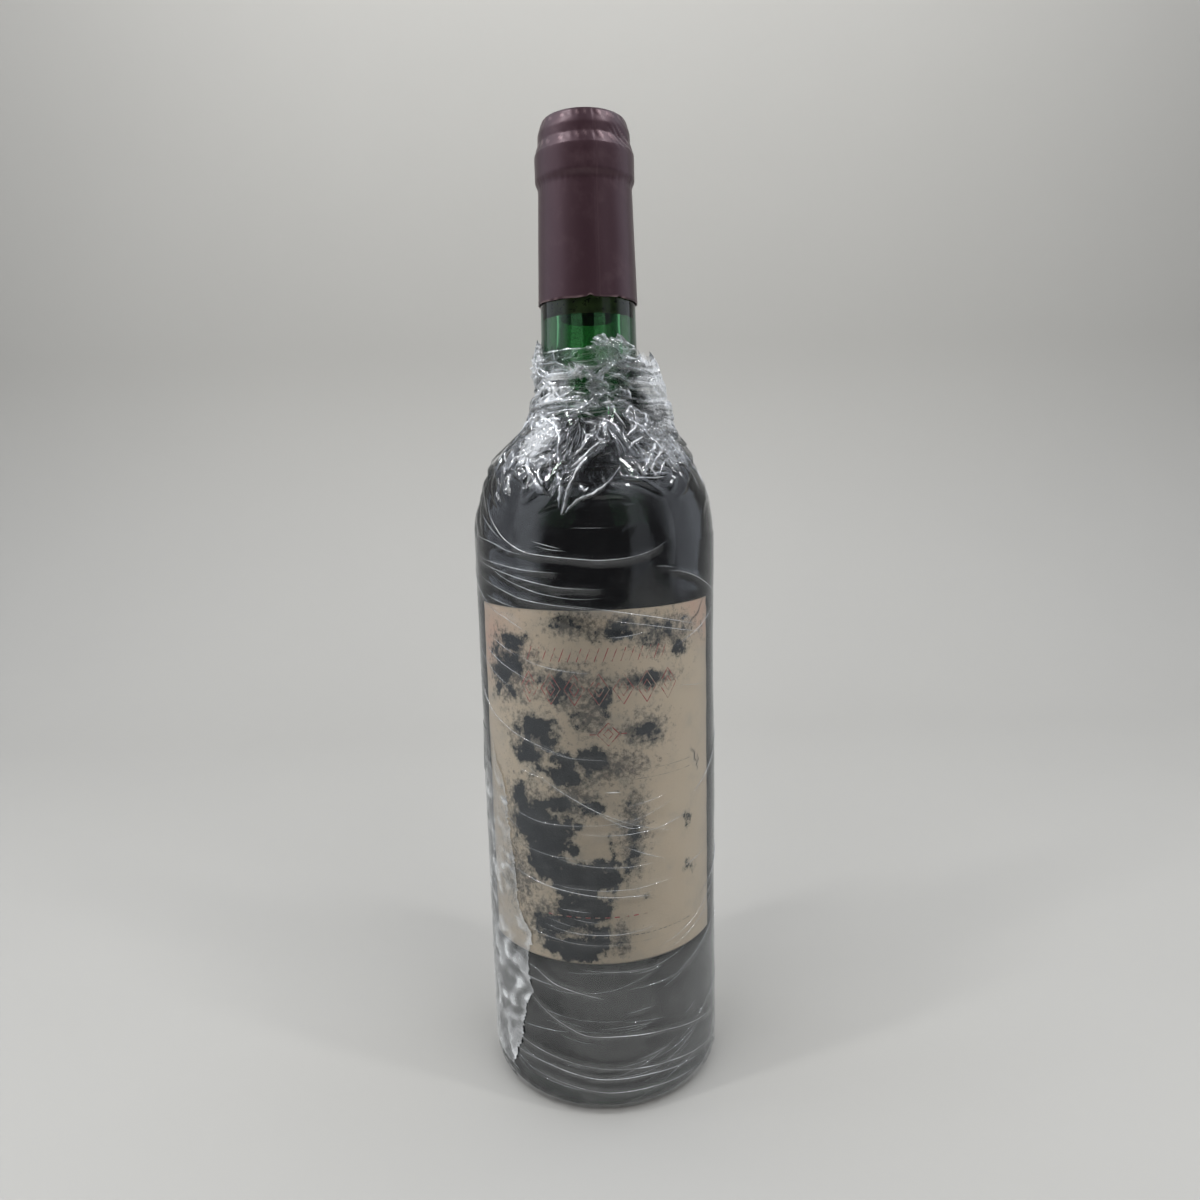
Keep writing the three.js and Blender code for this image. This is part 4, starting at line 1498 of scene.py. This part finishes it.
def makeScrap(name, angles, heights, rise, fineness, cover, order):
    # a loose patch of crumpled sheet, ragged all round
    draw = np.random.default_rng(film["seed"] + 20 + order)
    rows, columns = 72, 96
    v = np.linspace(0, 1, rows)[:, None] + np.zeros((1, columns))
    u = np.linspace(0, 1, columns)[None, :] + np.zeros((rows, 1))
    ragged = 0.05 * np.sin(9 * v + 2) + 0.04 * np.sin(23 * v) + 0.02 * draw.normal(0, 1, (rows, 1))
    torn = 0.06 * np.sin(7 * u + order) + 0.05 * np.sin(17 * u + 1)
    torn = torn + 0.015 * draw.normal(0, 1, (1, columns))
    rounding = 0.10 * (2 * v - 1) ** 2
    share = u + ragged * (2 * u - 1) * 2 + rounding * (1 - 2 * u)
    angle = np.radians(angles[0] + (angles[1] - angles[0]) * share)
    height = heights[0] + (heights[1] - heights[0]) * (v + torn * (2 * v - 1))
    outside = shoulderOutside()
    base = np.interp(height, outside[:, 1], outside[:, 0]) + 0.9
    rough = np.zeros((rows, columns))
    for smooth, weight in ((2, 0.35 * fineness), (6, 0.6), (14, 1.0)):
        field = blurred(draw.normal(0, 1, (rows, columns)), smooth)
        rough += weight * np.abs(field) / np.abs(field).max()
    dome = (np.sin(np.pi * np.clip(u, 0, 1)) * np.sin(np.pi * np.clip(v * 0.8 + 0.1, 0, 1))) ** 0.7
    radius = base + rise * dome + 1.1 * min(1.0, fineness) * (rough - 0.4) * (0.4 + dome)
    points = aroundAxis(np.maximum(radius, base - 0.3), angle, height)
    flat = (rough - (np.roll(rough, 1, 0) + np.roll(rough, -1, 0) + np.roll(rough, 1, 1)
                     + np.roll(rough, -1, 1)) / 4)
    # painted glint at the sharp crumples and along the ragged edges
    crease = smoothStep(np.abs(flat), 0.03, 0.12)
    crease[:, [0, -1]] = crease[[0, -1]] = 1.0
    soft = smoothStep(np.minimum(np.minimum(u, 1 - u), np.minimum(v, 1 - v)), -0.05, 0.12)
    mesh = meshFrom(name, points, gridFaces(rows, columns, False), {"crease": crease * 0.8,
                                                                   "layers": cover * soft})
    return place(name, mesh, filmMaterial, "film")


makeFilmSheet()
makeCreaseLines()
makePleats()
makeVeil()
for order, scrap in enumerate(scraps):
    makeScrap(*scrap, order)
print("film made")


# Camera, floor and light

view = {
    "distance": 272.3, "height": 200.5, "lens": 25.5,
    "yaw": math.radians(0.31), "pitch": math.radians(9.24), "roll": math.radians(1.42),
}


def makeCamera():
    data = bpy.data.cameras.new("camera")
    data.lens = view["lens"]
    data.sensor_width = 36.0
    data.clip_start = 0.01
    camera = newObject("camera", data)
    camera.matrix_world = (Matrix.Translation((0, -view["distance"] * mm, view["height"] * mm))
                           @ Matrix.Rotation(-view["yaw"], 4, "Z")
                           @ Matrix.Rotation(math.pi / 2 - view["pitch"], 4, "X")
                           @ Matrix.Rotation(-view["roll"], 4, "Z"))
    bpy.context.scene.camera = camera


sweep = {"front": -0.9, "bendStart": 0.34, "bendRadius": 0.32, "top": 1.1, "half": 1.2,
         "colour": (0.412, 0.405, 0.382, 1)}


def makeSweep():
    # one pale sheet: the floor, a wide bend and the wall behind
    bend = arc(0, 0, sweep["bendRadius"], -math.pi / 2, 0, 24)
    path = [(sweep["front"], 0.0)]
    path += [(sweep["bendStart"] + y, sweep["bendRadius"] + z) for y, z in bend]
    path.append((sweep["bendStart"] + sweep["bendRadius"], sweep["top"]))
    points = [(x, y, z) for y, z in path for x in (-sweep["half"], sweep["half"])]
    faces = gridFaces(len(path), 2, False)
    mesh = bpy.data.meshes.new("sweep")
    mesh.from_pydata(points, [], faces.tolist())
    mesh.polygons.foreach_set("use_smooth", [True] * len(mesh.polygons))
    material, tree, shader = newMaterial("palePaper")
    soft = spots(tree, objectSpace(tree), 3, 0.2, 0.8)
    darker = tuple(0.97 * c for c in sweep["colour"][:3]) + (1,)
    tree.links.new(mixColour(tree, soft, sweep["colour"], darker), shader.inputs["Base Color"])
    shader.inputs["Roughness"].default_value = 0.6
    floor = newObject("sweep", mesh)
    mesh.materials.append(material)


lamps = [  # name, place, aim, size across and along, watts, whether the glass mirrors it
    ("left softbox", (-0.50, -0.62, 0.62), (0.0, -0.02, 0.10), (0.6, 0.5), 3.6, False),
    ("right softbox", (0.50, -0.62, 0.62), (0.0, -0.02, 0.10), (0.6, 0.5), 3.6, False),
    ("left strip", (-0.44, -0.22, 0.90), (0.0, 0.0, 0.21), (0.04, 0.30), 1.8, True),
    ("right strip", (0.44, -0.22, 0.90), (0.0, 0.0, 0.21), (0.04, 0.30), 1.5, True),
    ("left spot", (-0.60, -0.06, 0.70), (0.0, 0.0, 0.21), (0.15, 0.15), 0.4, True),
    ("wall washer", (0.0, 0.28, 1.06), (0.0, 0.66, 0.62), (1.3, 0.3), 5.4, False),
]


def makeLights():
    for name, spot, aim, size, watts, mirrored in lamps:
        data = bpy.data.lights.new(name, "AREA")
        data.shape = "RECTANGLE"
        data.size, data.size_y = size
        data.energy = watts
        lamp = newObject(name, data)
        lamp.location = spot
        lamp.visible_glossy = mirrored
        lamp.rotation_euler = (Vector(aim) - Vector(spot)).to_track_quat("-Z", "Y").to_euler()


room = {
    "bright": 0.93,
    "front": 0.045,
    "strip": 0.34,
    # where they meet, in radians from the front
    "leftEdge": (-1.15, -0.75), "stripStart": (0.56, 0.62), "stripEnd": 0.93,
    "rightEdge": (1.2, 1.55),
    "ceiling": 0.45,  # sine of the height where the dark front ends
    "overhead": 0.2,  # straight above
    "besides": 1.15,  # above left and right
    "seen": 0.5,  # behind the floor's edges, where only the camera looks
    "tint": (0.935, 0.98, 1.08, 1),
}


def makeWorld():
    # a pale light tent, dark on the side the camera stands on, with a faint strip right of it
    world = bpy.data.worlds.new("room")
    world.use_nodes = True
    tree = world.node_tree
    direction = put(tree, "ShaderNodeTexCoord").outputs["Generated"]
    parts = put(tree, "ShaderNodeSeparateXYZ", {0: direction})
    forward = math2(tree, "MULTIPLY", parts.outputs["Y"], -1.0)
    turn = math2(tree, "ARCTAN2", parts.outputs["X"], forward)
    left = ramp(tree, turn, *room["leftEdge"], room["bright"], room["front"])
    strip = ramp(tree, turn, *room["stripStart"], 0.0, room["strip"] - room["front"])
    gap = ramp(tree, turn, room["stripEnd"], room["stripEnd"] + 0.05, 1.0, 0.1)
    right = ramp(tree, turn, *room["rightEdge"], 0.0, room["bright"] - room["front"])
    level = math2(tree, "ADD", math2(tree, "MULTIPLY_ADD", strip, gap, left), right)
    high = ramp(tree, parts.outputs["Z"], room["ceiling"], room["ceiling"] + 0.35)
    aside = math2(tree, "ABSOLUTE", parts.outputs["X"])
    above = ramp(tree, aside, 0.10, 0.50, room["overhead"], room["besides"])
    strength = put(tree, "ShaderNodeMix", {"Factor": high, 2: level, 3: above},
                   data_type="FLOAT").outputs[0]
    seen = put(tree, "ShaderNodeLightPath").outputs["Is Camera Ray"]
    strength = put(tree, "ShaderNodeMix", {"Factor": seen, 2: strength, 3: room["seen"]},
                   data_type="FLOAT").outputs[0]
    background = tree.nodes["Background"]
    background.inputs["Color"].default_value = room["tint"]
    tree.links.new(strength, background.inputs["Strength"])
    bpy.context.scene.world = world


makeCamera()
makeSweep()
makeLights()
makeWorld()
bpy.context.scene.view_settings.view_transform = "Standard"
bpy.context.scene.cycles.transparent_max_bounces = 32
print("camera, floor and lights made")
